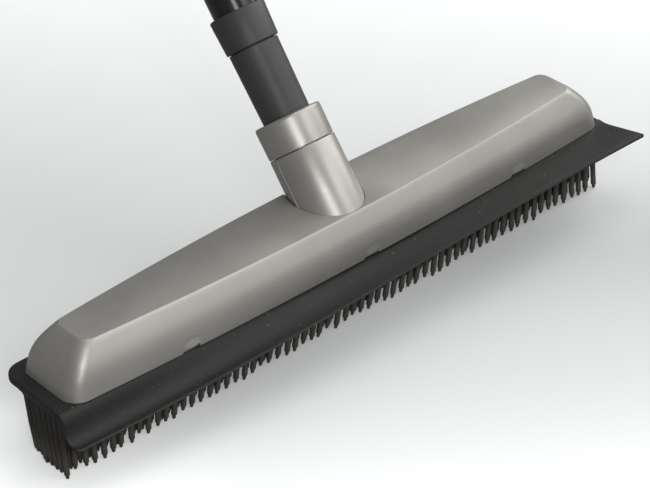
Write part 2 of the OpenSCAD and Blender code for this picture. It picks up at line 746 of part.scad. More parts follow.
head_housing();
handle_socket();
foot_screws();
carrier_plate();
rubber_base();
squeegee_blade();
bristles();
socket_collet();
socket_collar();
ferrule();
ferrule_collet();
ferrule_collar();
lower_tube();
lock_sleeve();
lock_collet();
lock_collar();
upper_tube();
slide_bush();
grip();
end_cap();
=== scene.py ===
import json
import math
import random

import bmesh
import bpy
from bpy.props import FloatProperty, FloatVectorProperty, IntProperty, PointerProperty
from mathutils import Matrix, Vector


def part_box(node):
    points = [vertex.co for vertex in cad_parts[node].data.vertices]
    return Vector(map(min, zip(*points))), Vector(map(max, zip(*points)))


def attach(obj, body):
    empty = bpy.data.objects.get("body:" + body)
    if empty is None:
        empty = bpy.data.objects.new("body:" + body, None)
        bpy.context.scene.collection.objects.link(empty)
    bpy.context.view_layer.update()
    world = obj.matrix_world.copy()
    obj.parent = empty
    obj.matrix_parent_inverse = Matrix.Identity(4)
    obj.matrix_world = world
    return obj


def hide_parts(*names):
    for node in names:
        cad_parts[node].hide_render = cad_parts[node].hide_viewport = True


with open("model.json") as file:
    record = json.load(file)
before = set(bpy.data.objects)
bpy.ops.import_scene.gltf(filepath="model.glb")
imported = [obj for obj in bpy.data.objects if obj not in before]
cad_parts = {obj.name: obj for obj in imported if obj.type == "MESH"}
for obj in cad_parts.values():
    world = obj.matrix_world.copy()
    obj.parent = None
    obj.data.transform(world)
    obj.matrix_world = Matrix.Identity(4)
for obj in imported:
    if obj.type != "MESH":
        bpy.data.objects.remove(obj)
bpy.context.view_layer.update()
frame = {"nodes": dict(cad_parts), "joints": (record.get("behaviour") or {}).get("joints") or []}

bl_info = {
    "name": "Rubber broom",
    "version": (1, 0, 0),
    "blender": (4, 5, 0),
    "location": "3D View > Sidebar > Broom",
    "description": "Dresses the frame of a rubber broom with a squeegee blade and a telescopic handle",
    "category": "Object",
}

MM = 0.001
# Places that differ by less than this, in metres, count as the same
TOLERANCE = 1e-6
LIP_THICKNESS = 3.5 * MM
BACKING_THICKNESS = 3 * MM


# Places and sizes read from the frame

def joint_named(name):
    for joint in frame["joints"]:
        if joint["name"] == name:
            return joint
    raise RuntimeError(f"the frame has no joint named {name}")


HOUSING_LOW, HOUSING_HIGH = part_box("head_housing")
LIP_LOW, LIP_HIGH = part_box("rubber_base")
BRISTLE_LOW, BRISTLE_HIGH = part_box("bristles")

AXIS_JOINT = joint_named("socket_collar_turn")
AXIS_WAY = Vector(AXIS_JOINT["axis"]).normalized()
AXIS_JOINT_PLACE = Vector(AXIS_JOINT["pos_m"])
TILT = math.atan2(AXIS_WAY.y, AXIS_WAY.z)
AXIS_START = AXIS_JOINT_PLACE + AXIS_WAY * (HOUSING_HIGH.z - AXIS_JOINT_PLACE.z) / AXIS_WAY.z
AXIS = Matrix.Translation(AXIS_START) @ Matrix.Rotation(-TILT, 4, "X")


def along_axis(node):
    """Lowest place, highest place and largest radius of a CAD node, measured on the handle's axis."""
    back = AXIS.inverted()
    points = [back @ v.co for v in frame["nodes"][node].data.vertices]
    radius = max(math.hypot(p.x, p.y) for p in points)
    return min(p.z for p in points), max(p.z for p in points), radius


# Where the socket's front is cut upright as it passes through the housing's top face
SOCKET_FRONT = -15.7 * MM

# Share of the housing's height, and how much of the ends' and the sides' inset is reached there
HOUSING_PROFILE = (
    (0.0, 0.0, 0.0),
    (0.19, 0.08, 0.05),
    (0.41, 0.2, 0.14),
    (0.59, 0.36, 0.29),
    (0.73, 0.53, 0.49),
    (0.88, 0.76, 0.76),
    (0.97, 0.92, 0.93),
    (1.0, 1.0, 1.0),
)


def length_setting(name, description, default, low, high):
    """A length whose default and limits are given in millimetres."""
    return FloatProperty(name=name, description=description, default=default * MM,
                         min=low * MM, max=high * MM, unit="LENGTH", precision=4)


def colour_setting(name, description, default):
    return FloatVectorProperty(name=name, description=description, default=default,
                               min=0, max=1, size=3, subtype="COLOR")


class HeadSettings(bpy.types.PropertyGroup):
    end_inset: length_setting("End inset", "How far each end leans in towards the top", 14, 4, 20)
    side_inset: length_setting("Side inset", "How far each long side leans in towards the top", 7.9, 2, 10)
    bottom_bow: length_setting(
        "Bottom bow", "How far the long sides swell in the middle of the bottom edge", 4.2, 0, 9)
    top_bow: length_setting(
        "Top bow", "How far the long sides swell in the middle of the top face", 6, 0, 9)
    corner: length_setting("Bottom corner radius", "Radius of the corners at the bottom edge", 9, 6, 16)
    rear_corner: length_setting(
        "Rear corner radius", "Radius of the two rear corners, from bottom to top", 4.5, 3, 12)
    top_corner: length_setting("Top corner radius", "Radius of the corners of the top face", 6, 3, 9)
    wall: length_setting("Wall", "Thickness of the moulded wall", 2.4, 1.5, 3)
    ridge: length_setting("Ridge rounding", "Rounding of the ridge round the top face", 0.1, 0.05, 2)
    notch_width: length_setting(
        "Release notch width", "Width of the clip release notches in the bottom edge", 9, 6, 12)
    notch_spacing: length_setting(
        "Release notch place", "How far the outer release notches sit from the middle", 99, 70, 110)
    notch_middle: length_setting(
        "Middle notch place", "Place of the middle release notch along the head", 3.7, -6, 6)
    silver: colour_setting("Silver", "Colour of the silver moulded plastic", (0.428, 0.414, 0.382))


class RubberSettings(bpy.types.PropertyGroup):
    rear_corner: length_setting("Rear corner radius", "Radius of the lip's two rear corners", 8.5, 6, 14)
    blade_width: length_setting(
        "Blade width", "Width of the squeegee blade along its curve, at its hanging end", 19.96, 16, 24)
    blade_grow: length_setting("Blade growth", "How much wider the blade is at its lifted end", 3.4, 0, 5)
    blade_flare: length_setting(
        "Blade flare", "How far the lifted end's free corner flares past the lip", 4.5, 0, 6)
    blade_root: length_setting("Blade root", "Thickness of the blade where it leaves the lip", 2.8, 2, 3.4)
    blade_edge: length_setting("Blade edge", "Thickness of the blade at its edge", 1.1, 0.8, 1.6)
    blade_corner: length_setting("Blade corner radius", "Radius of the blade's two outer corners", 2, 1, 7)
    strand_rows: IntProperty(
        name="Strand rows", description="Rows of strands across the head", default=7, min=5, max=7)
    strand_columns: IntProperty(
        name="Strands in a row", description="Strands along the head in one row", default=65, min=51, max=65)
    row_pitch: length_setting("Row pitch", "Distance between the rows of strands", 3.8, 3.4, 4)
    comb: length_setting(
        "Comb", "How far the tips sweep forwards at the right; their other sweeps scale with it", 3, 0, 5)
    strand_root: length_setting(
        "Strand root", "Thickness of a strand where it leaves the backing", 3, 2, 3.2)
    charcoal: colour_setting("Charcoal", "Colour of the rubber", (0.0225, 0.022, 0.0212))
    strand_black: colour_setting("Strand black", "Colour of the strands", (0.036, 0.033, 0.029))


class HandleSettings(bpy.types.PropertyGroup):
    turning_steps: IntProperty(
        name="Turning steps", description="Faces round each turned piece", default=96, min=32, max=192)
    flutes: IntProperty(
        name="Flutes", description="Finger flutes round the twist-lock collar", default=16, min=8, max=24)
    grip_grooves: IntProperty(
        name="Grip grooves", description="Rounded grooves along the grip", default=11, min=4, max=16)
    dark_grey: colour_setting("Dark grey", "Colour of the dark moulded plastic", (0.046, 0.043, 0.045))
    gloss_black: colour_setting("Gloss black", "Colour of the painted tubes", (0.012, 0.012, 0.013))
    grip_black: colour_setting("Grip black", "Colour of the grip", (0.04, 0.039, 0.038))
    zinc: colour_setting("Zinc", "Colour of the plated screws", (0.55, 0.56, 0.58))


class StageSettings(bpy.types.PropertyGroup):
    floor_size: FloatProperty(
        name="Floor size", description="Side of the square floor",
        default=12.0, min=4.0, max=40.0, unit="LENGTH")
    pale: colour_setting(
        "Pale floor", "Colour of the floor near to and far from the camera", (0.92, 0.935, 0.925))
    # Painted shade: the darker tone that the floor takes in a band under the broom
    painted_shade: colour_setting("Dim floor", "Colour of the floor under the broom", (0.53, 0.54, 0.535))
    bounce: colour_setting("Floor bounce", "Colour of the floor as the broom sees it", (0.3, 0.3, 0.3))
    lens: FloatProperty(
        name="Lens", description="Focal length of the camera in millimetres",
        default=128.53, min=20, max=300)
    glow: FloatProperty(
        name="Floor glow", description="How much of the floor's own colour the camera sees without light",
        default=0.4, min=0, max=1)
    level: FloatProperty(
        name="Light level", description="Share of their full power that the lamps give",
        default=1.0, min=0, max=4)
    sky: FloatProperty(
        name="Sky", description="Strength of the even light from all round", default=0.23, min=0, max=2)


# Modelling helpers

def deselect_all():
    if bpy.context.object and bpy.context.object.mode != "OBJECT":
        bpy.ops.object.mode_set(mode="OBJECT")
    bpy.ops.object.select_all(action="DESELECT")


def only(obj):
    """Makes obj the active object and the only one selected."""
    deselect_all()
    obj.select_set(True)
    bpy.context.view_layer.objects.active = obj


def pick(obj, kind, test):
    """Selects only those vertices, edges or faces, in edit mode, that pass the test."""
    bpy.ops.mesh.select_mode(type=kind)
    bpy.ops.mesh.select_all(action="DESELECT")
    mesh = bmesh.from_edit_mesh(obj.data)
    parts = {"VERT": mesh.verts, "EDGE": mesh.edges, "FACE": mesh.faces}[kind]
    found = 0
    for part in parts:
        if test(part):
            part.select_set(True)
            found += 1
    if not found:
        raise RuntimeError(f"nothing to select on {obj.name}")
    mesh.select_flush_mode()
    bmesh.update_edit_mesh(obj.data)


def at_level(vertex, z):
    return abs(vertex.co.z - z) < TOLERANCE


def edge_at_level(edge, z):
    return all(at_level(v, z) for v in edge.verts)


def empty_mesh(name):
    """A new object with nothing in its mesh, left in edit mode."""
    deselect_all()
    bpy.ops.mesh.primitive_plane_add(size=1, location=(0, 0, 0))
    obj = bpy.context.object
    obj.name = name
    bpy.ops.object.mode_set(mode="EDIT")
    bpy.ops.mesh.select_all(action="SELECT")
    bpy.ops.mesh.delete(type="VERT")
    return obj


def face_outwards():
    """Turns every face of the mesh in edit mode outwards."""
    bpy.ops.mesh.select_all(action="SELECT")
    bpy.ops.mesh.normals_make_consistent(inside=False)


def modifier(obj, kind, **values):
    """Adds a modifier with these values and applies it."""
    only(obj)
    bpy.ops.object.modifier_add(type=kind)
    added = obj.modifiers[-1]
    for name, value in values.items():
        setattr(added, name, value)
    bpy.ops.object.modifier_apply(modifier=added.name)


def soften(obj, width, segments=2, angle=30):
    """Rounds every edge that is sharper than the angle."""
    modifier(obj, "BEVEL", width=width, segments=segments, limit_method="ANGLE",
             angle_limit=math.radians(angle), use_clamp_overlap=True)


def cut_away(obj, cutter):
    """Takes the cutter's shape out of obj and removes the cutter."""
    modifier(obj, "BOOLEAN", operation="DIFFERENCE", solver="MANIFOLD", object=cutter)
    bpy.data.objects.remove(cutter)


def unite(obj, other, solver="MANIFOLD"):
    """Joins the other's shape to obj and removes the other."""
    modifier(obj, "BOOLEAN", operation="UNION", solver=solver, object=other)
    bpy.data.objects.remove(other)


def cut_box(obj, low, high):
    """Takes everything between two corners out of obj, measured in the object's own frame."""
    middle = [(a + b) / 2 for a, b in zip(low, high)]
    deselect_all()
    bpy.ops.mesh.primitive_cube_add(size=1, location=middle)
    box = bpy.context.object
    bpy.ops.transform.resize(value=[b - a for a, b in zip(low, high)], center_override=middle)
    bpy.ops.object.transform_apply(location=True, rotation=True, scale=True)
    cut_away(obj, box)


def place_on_axis(obj):
    """Puts a piece that was made upright at the origin on the handle's axis, with the place in its mesh."""
    obj.matrix_world = AXIS
    only(obj)
    bpy.ops.object.transform_apply(location=True, rotation=True, scale=True)


def finish_piece(obj, body, node, material, smooth=32):
    """Shades a piece, gives it its material, ties it to its body and hides the CAD node that it stands for.
    """
    only(obj)
    bpy.ops.object.transform_apply(location=True, rotation=True, scale=True)
    bpy.ops.object.shade_smooth_by_angle(angle=math.radians(smooth))
    obj.data.materials.clear()
    obj.data.materials.append(material_named(material))
    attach(obj, body)
    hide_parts(node)


def turned(name, profile, solid=False):
    """A piece made by extruding a circle from point to point of a profile of (radius, place on the axis)."""
    steps = bpy.context.scene.broom_handle.turning_steps
    radius, place = profile[0]
    deselect_all()
    bpy.ops.mesh.primitive_circle_add(
        vertices=steps, radius=radius, fill_type="NGON" if solid else "NOTHING", location=(0, 0, 0))
    obj = bpy.context.object
    obj.name = name
    bpy.ops.object.mode_set(mode="EDIT")
    bpy.ops.mesh.select_mode(type="VERT")
    bpy.ops.mesh.select_all(action="SELECT")
    bpy.ops.transform.translate(value=(0, 0, place))
    points = list(profile[1:])
    if not solid:
        points.append(profile[0])
    for next_radius, next_place in points:
        bpy.ops.mesh.extrude_region_move(TRANSFORM_OT_translate={"value": (0, 0, next_place - place)})
        grow = next_radius / radius
        bpy.ops.transform.resize(value=(grow, grow, 1), center_override=(0, 0, next_place))
        radius = next_radius
        place = next_place
    bpy.ops.mesh.select_all(action="SELECT")
    bpy.ops.mesh.remove_doubles(threshold=0.002 * MM)
    face_outwards()
    bpy.ops.object.mode_set(mode="OBJECT")
    return obj


def rounded_plane(obj, low, high, z, front_corner, rear_corner, segments):
    """Adds to the mesh in edit mode a flat face with round corners, and leaves it selected."""
    middle = ((low[0] + high[0]) / 2, (low[1] + high[1]) / 2, z)
    bpy.ops.mesh.primitive_plane_add(size=1, location=middle)
    bpy.ops.transform.resize(value=(high[0] - low[0], high[1] - low[1], 1), center_override=middle)
    for front, radius in ((True, front_corner), (False, rear_corner)):
        pick(obj, "VERT", lambda v: at_level(v, z) and (v.co.y < middle[1]) == front)
        bpy.ops.mesh.bevel(affect="VERTICES", offset=radius, segments=segments, offset_type="OFFSET")
    pick(obj, "FACE", lambda f: abs(f.calc_center_median().z - z) < TOLERANCE)


# Materials

def dot_with(tree, places, way):
    """Distance of each point along a direction."""
    node = add_node(tree, "ShaderNodeVectorMath", operation="DOT_PRODUCT")
    tree.links.new(places, node.inputs[0])
    node.inputs[1].default_value = way
    return node.outputs["Value"]


def add_node(tree, kind, inputs=None, **values):
    """A shader node with its settings and its unlinked inputs filled in."""
    node = tree.nodes.new(kind)
    for name, value in values.items():
        setattr(node, name, value)
    for name, value in (inputs or {}).items():
        node.inputs[name].default_value = value
    return node


def ramp(tree, source, low, high, low_value=0.0, high_value=1.0):
    """Maps a value from low..high to low_value..high_value, smoothly."""
    limits = {"From Min": low, "From Max": high, "To Min": low_value, "To Max": high_value}
    node = add_node(tree, "ShaderNodeMapRange", limits, interpolation_type="SMOOTHSTEP")
    tree.links.new(source, node.inputs["Value"])
    return node.outputs["Result"]


def maths(tree, operation, first, second=None):
    """One Math node; either input may be a socket or a number."""
    node = add_node(tree, "ShaderNodeMath", operation=operation)
    for index, value in enumerate((first, second)):
        if value is None:
            continue
        if isinstance(value, (int, float)):
            node.inputs[index].default_value = value
        else:
            tree.links.new(value, node.inputs[index])
    return node.outputs[0]


def blend_colours(tree, factor, first, second):
    """Mixes two colours, each a socket or three numbers, by a factor socket."""
    node = add_node(tree, "ShaderNodeMix", data_type="RGBA")
    tree.links.new(factor, node.inputs["Factor"])
    for name, value in (("A", first), ("B", second)):
        socket = [s for s in node.inputs if s.name == name and s.type == "RGBA"][0]
        if isinstance(value, bpy.types.NodeSocket):
            tree.links.new(value, socket)
        else:
            socket.default_value = (*value, 1.0)
    return [s for s in node.outputs if s.type == "RGBA"][0]


def object_places(tree):
    """Each point's place in the piece's own coordinates, which are those of the frame."""
    return tree.nodes.new("ShaderNodeTexCoord").outputs["Object"]


def split_places(tree):
    """The same place as three numbers, X, Y and Z."""
    node = tree.nodes.new("ShaderNodeSeparateXYZ")
    tree.links.new(object_places(tree), node.inputs["Vector"])
    return node.outputs


def shade(colour, factor, extra=0.0):
    """A colour made darker or brighter, with an even part added."""
    return [min(c * factor + extra, 1) for c in colour]


def lay_over(tree, base, mask, share, colour):
    """Lays a share of another colour over the base where the mask shows."""
    return blend_colours(tree, maths(tree, "MULTIPLY", mask, share), base, colour)


def mottled(tree, grain, first, second, low=0.35, high=0.65):
    """Two colours in slow clouds; low and high say where the noise turns from one to the other."""
    return blend_colours(tree, ramp(tree, grain.outputs["Mottle"], low, high), first, second)


def link_surface(tree, shader, base, rough, normal):
    for title, source in (("Base Color", base), ("Roughness", rough), ("Normal", normal)):
        tree.links.new(source, shader.inputs[title])


def new_group(name, inputs, outputs):
    """An empty node group with number inputs and outputs, and its two end nodes."""
    tree = bpy.data.node_groups.new(name, "ShaderNodeTree")
    for title, value in inputs:
        socket = tree.interface.new_socket(title, in_out="INPUT", socket_type="NodeSocketFloat")
        socket.default_value = value
    for title in outputs:
        tree.interface.new_socket(title, in_out="OUTPUT", socket_type="NodeSocketFloat")
    return tree, tree.nodes.new("NodeGroupInput"), tree.nodes.new("NodeGroupOutput")


def grain_group():
    """Fine moulded grain and a slow mottle, both from the piece's own coordinates."""
    tree, start, end = new_group("moulded_grain", (("Grain Scale", 900.0), ("Mottle Scale", 25.0)),
                                 ("Grain", "Mottle"))
    places = object_places(tree)
    for title, scale, detail in (("Grain", "Grain Scale", 2.0), ("Mottle", "Mottle Scale", 4.0)):
        noise = add_node(tree, "ShaderNodeTexNoise", {"Detail": detail, "Roughness": 0.6})
        tree.links.new(places, noise.inputs["Vector"])
        tree.links.new(start.outputs[scale], noise.inputs["Scale"])
        tree.links.new(noise.outputs["Fac"], end.inputs[title])
    return tree


def specks_group():
    """Sparse small specks, such as dust and moulding flecks."""
    tree, start, end = new_group("specks", (("Speck Scale", 400.0), ("Speck Size", 0.2), ("Share", 0.1)),
                                 ("Mask",))
    places = object_places(tree)
    cells = add_node(tree, "ShaderNodeTexVoronoi", feature="F1")
    tree.links.new(places, cells.inputs["Vector"])
    tree.links.new(start.outputs["Speck Scale"], cells.inputs["Scale"])
    near = maths(tree, "LESS_THAN", cells.outputs["Distance"], start.outputs["Speck Size"])
    parts = tree.nodes.new("ShaderNodeSeparateColor")
    tree.links.new(cells.outputs["Color"], parts.inputs["Color"])
    chosen = maths(tree, "LESS_THAN", parts.outputs["Red"], start.outputs["Share"])
    tree.links.new(maths(tree, "MULTIPLY", near, chosen), end.inputs["Mask"])
    return tree


def streaks_group():
    """Faint scuffs that run along one direction of the piece."""
    tree, start, end = new_group("streaks", (("Along", 20.0), ("Across", 300.0)), ("Mask",))
    places = object_places(tree)
    scale = tree.nodes.new("ShaderNodeCombineXYZ")
    for title, way in (("Along", "X"), ("Across", "Y"), ("Across", "Z")):
        tree.links.new(start.outputs[title], scale.inputs[way])
    stretched = add_node(tree, "ShaderNodeVectorMath", operation="MULTIPLY")
    tree.links.new(places, stretched.inputs[0])
    tree.links.new(scale.outputs["Vector"], stretched.inputs[1])
    noise = add_node(tree, "ShaderNodeTexNoise", {"Scale": 1.0, "Detail": 3.0})
    tree.links.new(stretched.outputs["Vector"], noise.inputs["Vector"])
    tree.links.new(ramp(tree, noise.outputs["Fac"], 0.58, 0.75), end.inputs["Mask"])
    return tree


def group_named(name):
    """The shared node group of that name, made the first time it is asked for."""
    makers = {"moulded_grain": grain_group, "specks": specks_group, "streaks": streaks_group}
    return bpy.data.node_groups.get(name) or makers[name]()


def add_group(tree, name, **values):
    """Places a shared node group; values fill its inputs by name."""
    node = tree.nodes.new("ShaderNodeGroup")
    node.node_tree = group_named(name)
    for title, value in values.items():
        node.inputs[title.replace("_", " ").title()].default_value = value
    return node


def bump(tree, height, strength, distance, normal=None):
    """A Bump node in metres of relief; returns its normal."""
    node = add_node(tree, "ShaderNodeBump", {"Strength": strength, "Distance": distance})
    tree.links.new(height, node.inputs["Height"])
    if normal:
        tree.links.new(normal, node.inputs["Normal"])
    return node.outputs["Normal"]


def start_material(name, metallic=0.0, roughness=0.5, **sockets):
    """A new material, its tree and its Principled shader with plain values set on the shader."""
    material = bpy.data.materials.new(name)
    material.use_nodes = True
    tree = material.node_tree
    shader = tree.nodes["Principled BSDF"]
    shader.inputs["Metallic"].default_value = metallic
    shader.inputs["Roughness"].default_value = roughness
    for title, value in sockets.items():
        shader.inputs[title.replace("_", " ")].default_value = value
    return material, tree, shader


# Place along the head of each sink line over an inner rib, and how strongly it shows
SINK_LINES = ((-95 * MM, 0.35), (-55 * MM, 0.3), (67 * MM, 1.0), (107 * MM, 0.5))
# The scuffed hollow above a release notch, made paler in part as a painted highlight: its shift, its half
# width, its height up and its half height
MARK_SHIFT = 1 * MM
MARK_HALF_WIDTH = 5.5 * MM
MARK_UP = 3.2 * MM
MARK_HALF_HEIGHT = 3.4 * MM


def silver_material():
    """Satin silver moulded plastic: flake, faint scuffs, the sink lines over the inner ribs, and scuffed
    hollows above the release notches whose paler tone is partly a painted highlight.
    """
    colour = bpy.context.scene.broom_head.silver
    material, tree, shader = start_material("silver_plastic", metallic=0.7)
    grain = add_group(tree, "moulded_grain", grain_scale=2600.0, mottle_scale=18.0)
    fleck = add_group(tree, "specks", speck_scale=1400.0, speck_size=0.35, share=0.25)
    scuff = add_group(tree, "streaks", along=14.0, across=260.0)
    bright = shade(colour, 1.12)
    base = mottled(tree, grain, shade(colour, 0.9), colour)
    base = lay_over(tree, base, fleck.outputs["Mask"], 0.35, bright)
    base = lay_over(tree, base, scuff.outputs["Mask"], 0.25, bright)
    place = split_places(tree)
    sinks = None
    for along, shows in SINK_LINES:
        off = maths(tree, "ABSOLUTE", maths(tree, "SUBTRACT", place["X"], along))
        line = maths(tree, "MULTIPLY", ramp(tree, off, 0.1 * MM, 1.5 * MM, 1.0, 0.0), shows)
        sinks = line if sinks is None else maths(tree, "ADD", sinks, line)
    base = lay_over(tree, base, sinks, 0.12, bright)
    scuff_and_highlight = scuff_and_highlight_mask(tree, place, grain.outputs["Mottle"])
    # Partly scuff and partly painted highlight: the hollows above the notches are made paler
    base = lay_over(tree, base, scuff_and_highlight, 0.45, shade(colour, 1.6))
    rough = ramp(tree, grain.outputs["Mottle"], 0.3, 0.7, 0.37, 0.46)
    rough = maths(tree, "ADD", rough, maths(tree, "MULTIPLY", scuff.outputs["Mask"], -0.05))
    fine = bump(tree, grain.outputs["Grain"], 0.12, 0.05 * MM)
    relief = maths(tree, "ADD", maths(tree, "MULTIPLY", sinks, -1.0), maths(tree, "MULTIPLY", scuff_and_highlight, -6.0))
    link_surface(tree, shader, base, rough, bump(tree, relief, 0.5, 0.06 * MM, fine))
    return material


def scuff_and_highlight_mask(tree, place, mottle):
    """Mask of the scuffed hollows in the front wall above the release notches, whose paler tone is partly a
    painted highlight.
    """
    head = bpy.context.scene.broom_head
    off = None
    for x in (-head.notch_spacing, head.notch_middle, head.notch_spacing):
        here = maths(tree, "ABSOLUTE", maths(tree, "SUBTRACT", place["X"], x + MARK_SHIFT))
        off = here if off is None else maths(tree, "MINIMUM", off, here)
    wide = maths(tree, "DIVIDE", off, MARK_HALF_WIDTH)
    above = maths(tree, "SUBTRACT", place["Z"], HOUSING_LOW.z + MARK_UP)
    high = maths(tree, "DIVIDE", above, MARK_HALF_HEIGHT)
    far = maths(tree, "ADD", maths(tree, "POWER", wide, 2.0), maths(tree, "MULTIPLY", high, high))
    spot = ramp(tree, far, 1.0, 0.1)
    front = maths(tree, "LESS_THAN", place["Y"], 0.0)
    patchy = ramp(tree, mottle, 0.3, 0.6, 0.5, 1.0)
    return maths(tree, "MULTIPLY", maths(tree, "MULTIPLY", spot, front), patchy)


def rubber_material(name, colour, roughness, mottle_scale, dust, paler_below=None):
    """Matt rubber with a slow mottle, a fine skin and dust specks, paler below a height if one is given."""
    material, tree, shader = start_material(name, Specular_IOR_Level=0.3)
    grain = add_group(tree, "moulded_grain", grain_scale=1500.0, mottle_scale=mottle_scale)
    base = mottled(tree, grain, shade(colour, 0.78), colour, high=0.7)
    if paler_below:
        # The colour turns paler towards the bottom, below the given height
        low = ramp(tree, split_places(tree)["Z"], paler_below, 0.2 * paler_below)
        base = blend_colours(tree, low, base, shade(colour, 2.4))
    for scale, size in ((420.0, 0.16), (1100.0, 0.22)):
        specks = add_group(tree, "specks", speck_scale=scale, speck_size=size, share=dust)
        base = lay_over(tree, base, specks.outputs["Mask"], 0.5, shade(colour, 2.6, 0.14))
    rough = ramp(tree, grain.outputs["Mottle"], 0.3, 0.7, roughness - 0.06, roughness + 0.06)
    link_surface(tree, shader, base, rough, bump(tree, grain.outputs["Grain"], 0.25, 0.06 * MM))
    return material


def dark_material():
    """Matt dark-grey moulded plastic with a fine spark-eroded grain."""
    colour = bpy.context.scene.broom_handle.dark_grey
    material, tree, shader = start_material("dark_plastic")
    grain = add_group(tree, "moulded_grain", grain_scale=1900.0, mottle_scale=40.0)
    scuff = add_group(tree, "streaks", along=60.0, across=260.0)
    base = mottled(tree, grain, shade(colour, 0.85), colour)
    base = lay_over(tree, base, scuff.outputs["Mask"], 0.25, shade(colour, 1.5))
    rough = ramp(tree, grain.outputs["Grain"], 0.3, 0.7, 0.42, 0.56)
    link_surface(tree, shader, base, rough, bump(tree, grain.outputs["Grain"], 0.25, 0.05 * MM))
    return material


def gloss_material():
    """Gloss black paint on steel tube, with slight orange peel and handling marks."""
    colour = bpy.context.scene.broom_handle.gloss_black
    material, tree, shader = start_material("gloss_black_paint", Specular_IOR_Level=0.3, Coat_Weight=0.25,
                                            Coat_Roughness=0.12)
    grain = add_group(tree, "moulded_grain", grain_scale=260.0, mottle_scale=30.0)
    base = mottled(tree, grain, colour, shade(colour, 2.2, 0.004), 0.5, 0.8)
    rough = ramp(tree, grain.outputs["Mottle"], 0.3, 0.7, 0.16, 0.3)
    link_surface(tree, shader, base, rough, bump(tree, grain.outputs["Grain"], 0.08, 0.05 * MM))
    return material


def zinc_material():
    """Zinc-plated steel with a cloudy plating."""
    colour = bpy.context.scene.broom_handle.zinc
    material, tree, shader = start_material("zinc_plate", metallic=1.0)
    grain = add_group(tree, "moulded_grain", grain_scale=1200.0, mottle_scale=220.0)
    base = mottled(tree, grain, shade(colour, 0.75), colour)
    rough = ramp(tree, grain.outputs["Mottle"], 0.3, 0.7, 0.28, 0.5)
    link_surface(tree, shader, base, rough, bump(tree, grain.outputs["Grain"], 0.2, 0.02 * MM))
    return material


def material_named(name):
    """The broom's material of that name, made the first time it is asked for."""
    made = bpy.data.materials.get(name)
    if made:
        return made
    rubber = bpy.context.scene.broom_rubber
    handle = bpy.context.scene.broom_handle
    rubbers = {
        "charcoal_rubber": (rubber.charcoal, 0.55, 35.0, 0.05),
        "strand_rubber": (rubber.strand_black, 0.48, 120.0, 0.02, 18 * MM),
        "grip_rubber": (handle.grip_black, 0.62, 50.0, 0.02),
    }
    if name in rubbers:
        return rubber_material(name, *rubbers[name])
    others = {"silver_plastic": silver_material, "dark_plastic": dark_material,
              "gloss_black_paint": gloss_material, "zinc_plate": zinc_material}
    return others[name]()


# The head

def profile_at(share, column):
    """The housing's inset at a share of its height, on a smooth curve through the profile's rows."""
    rows = HOUSING_PROFILE
    count = len(rows)
    slopes = []
    for i in range(count):
        before = rows[max(i - 1, 0)]
        after = rows[min(i + 1, count - 1)]
        slopes.append((after[column] - before[column]) / (after[0] - before[0]))
    for i in range(count - 1):
        low = rows[i]
        high = rows[i + 1]
        if share <= high[0]:
            step = high[0] - low[0]
            t = (share - low[0]) / step
            return (low[column] * (1 + 2 * t) * (1 - t) ** 2
                    + slopes[i] * step * t * (1 - t) ** 2
                    + high[column] * t * t * (3 - 2 * t)
                    + slopes[i + 1] * step * t * t * (t - 1))
    return rows[-1][column]


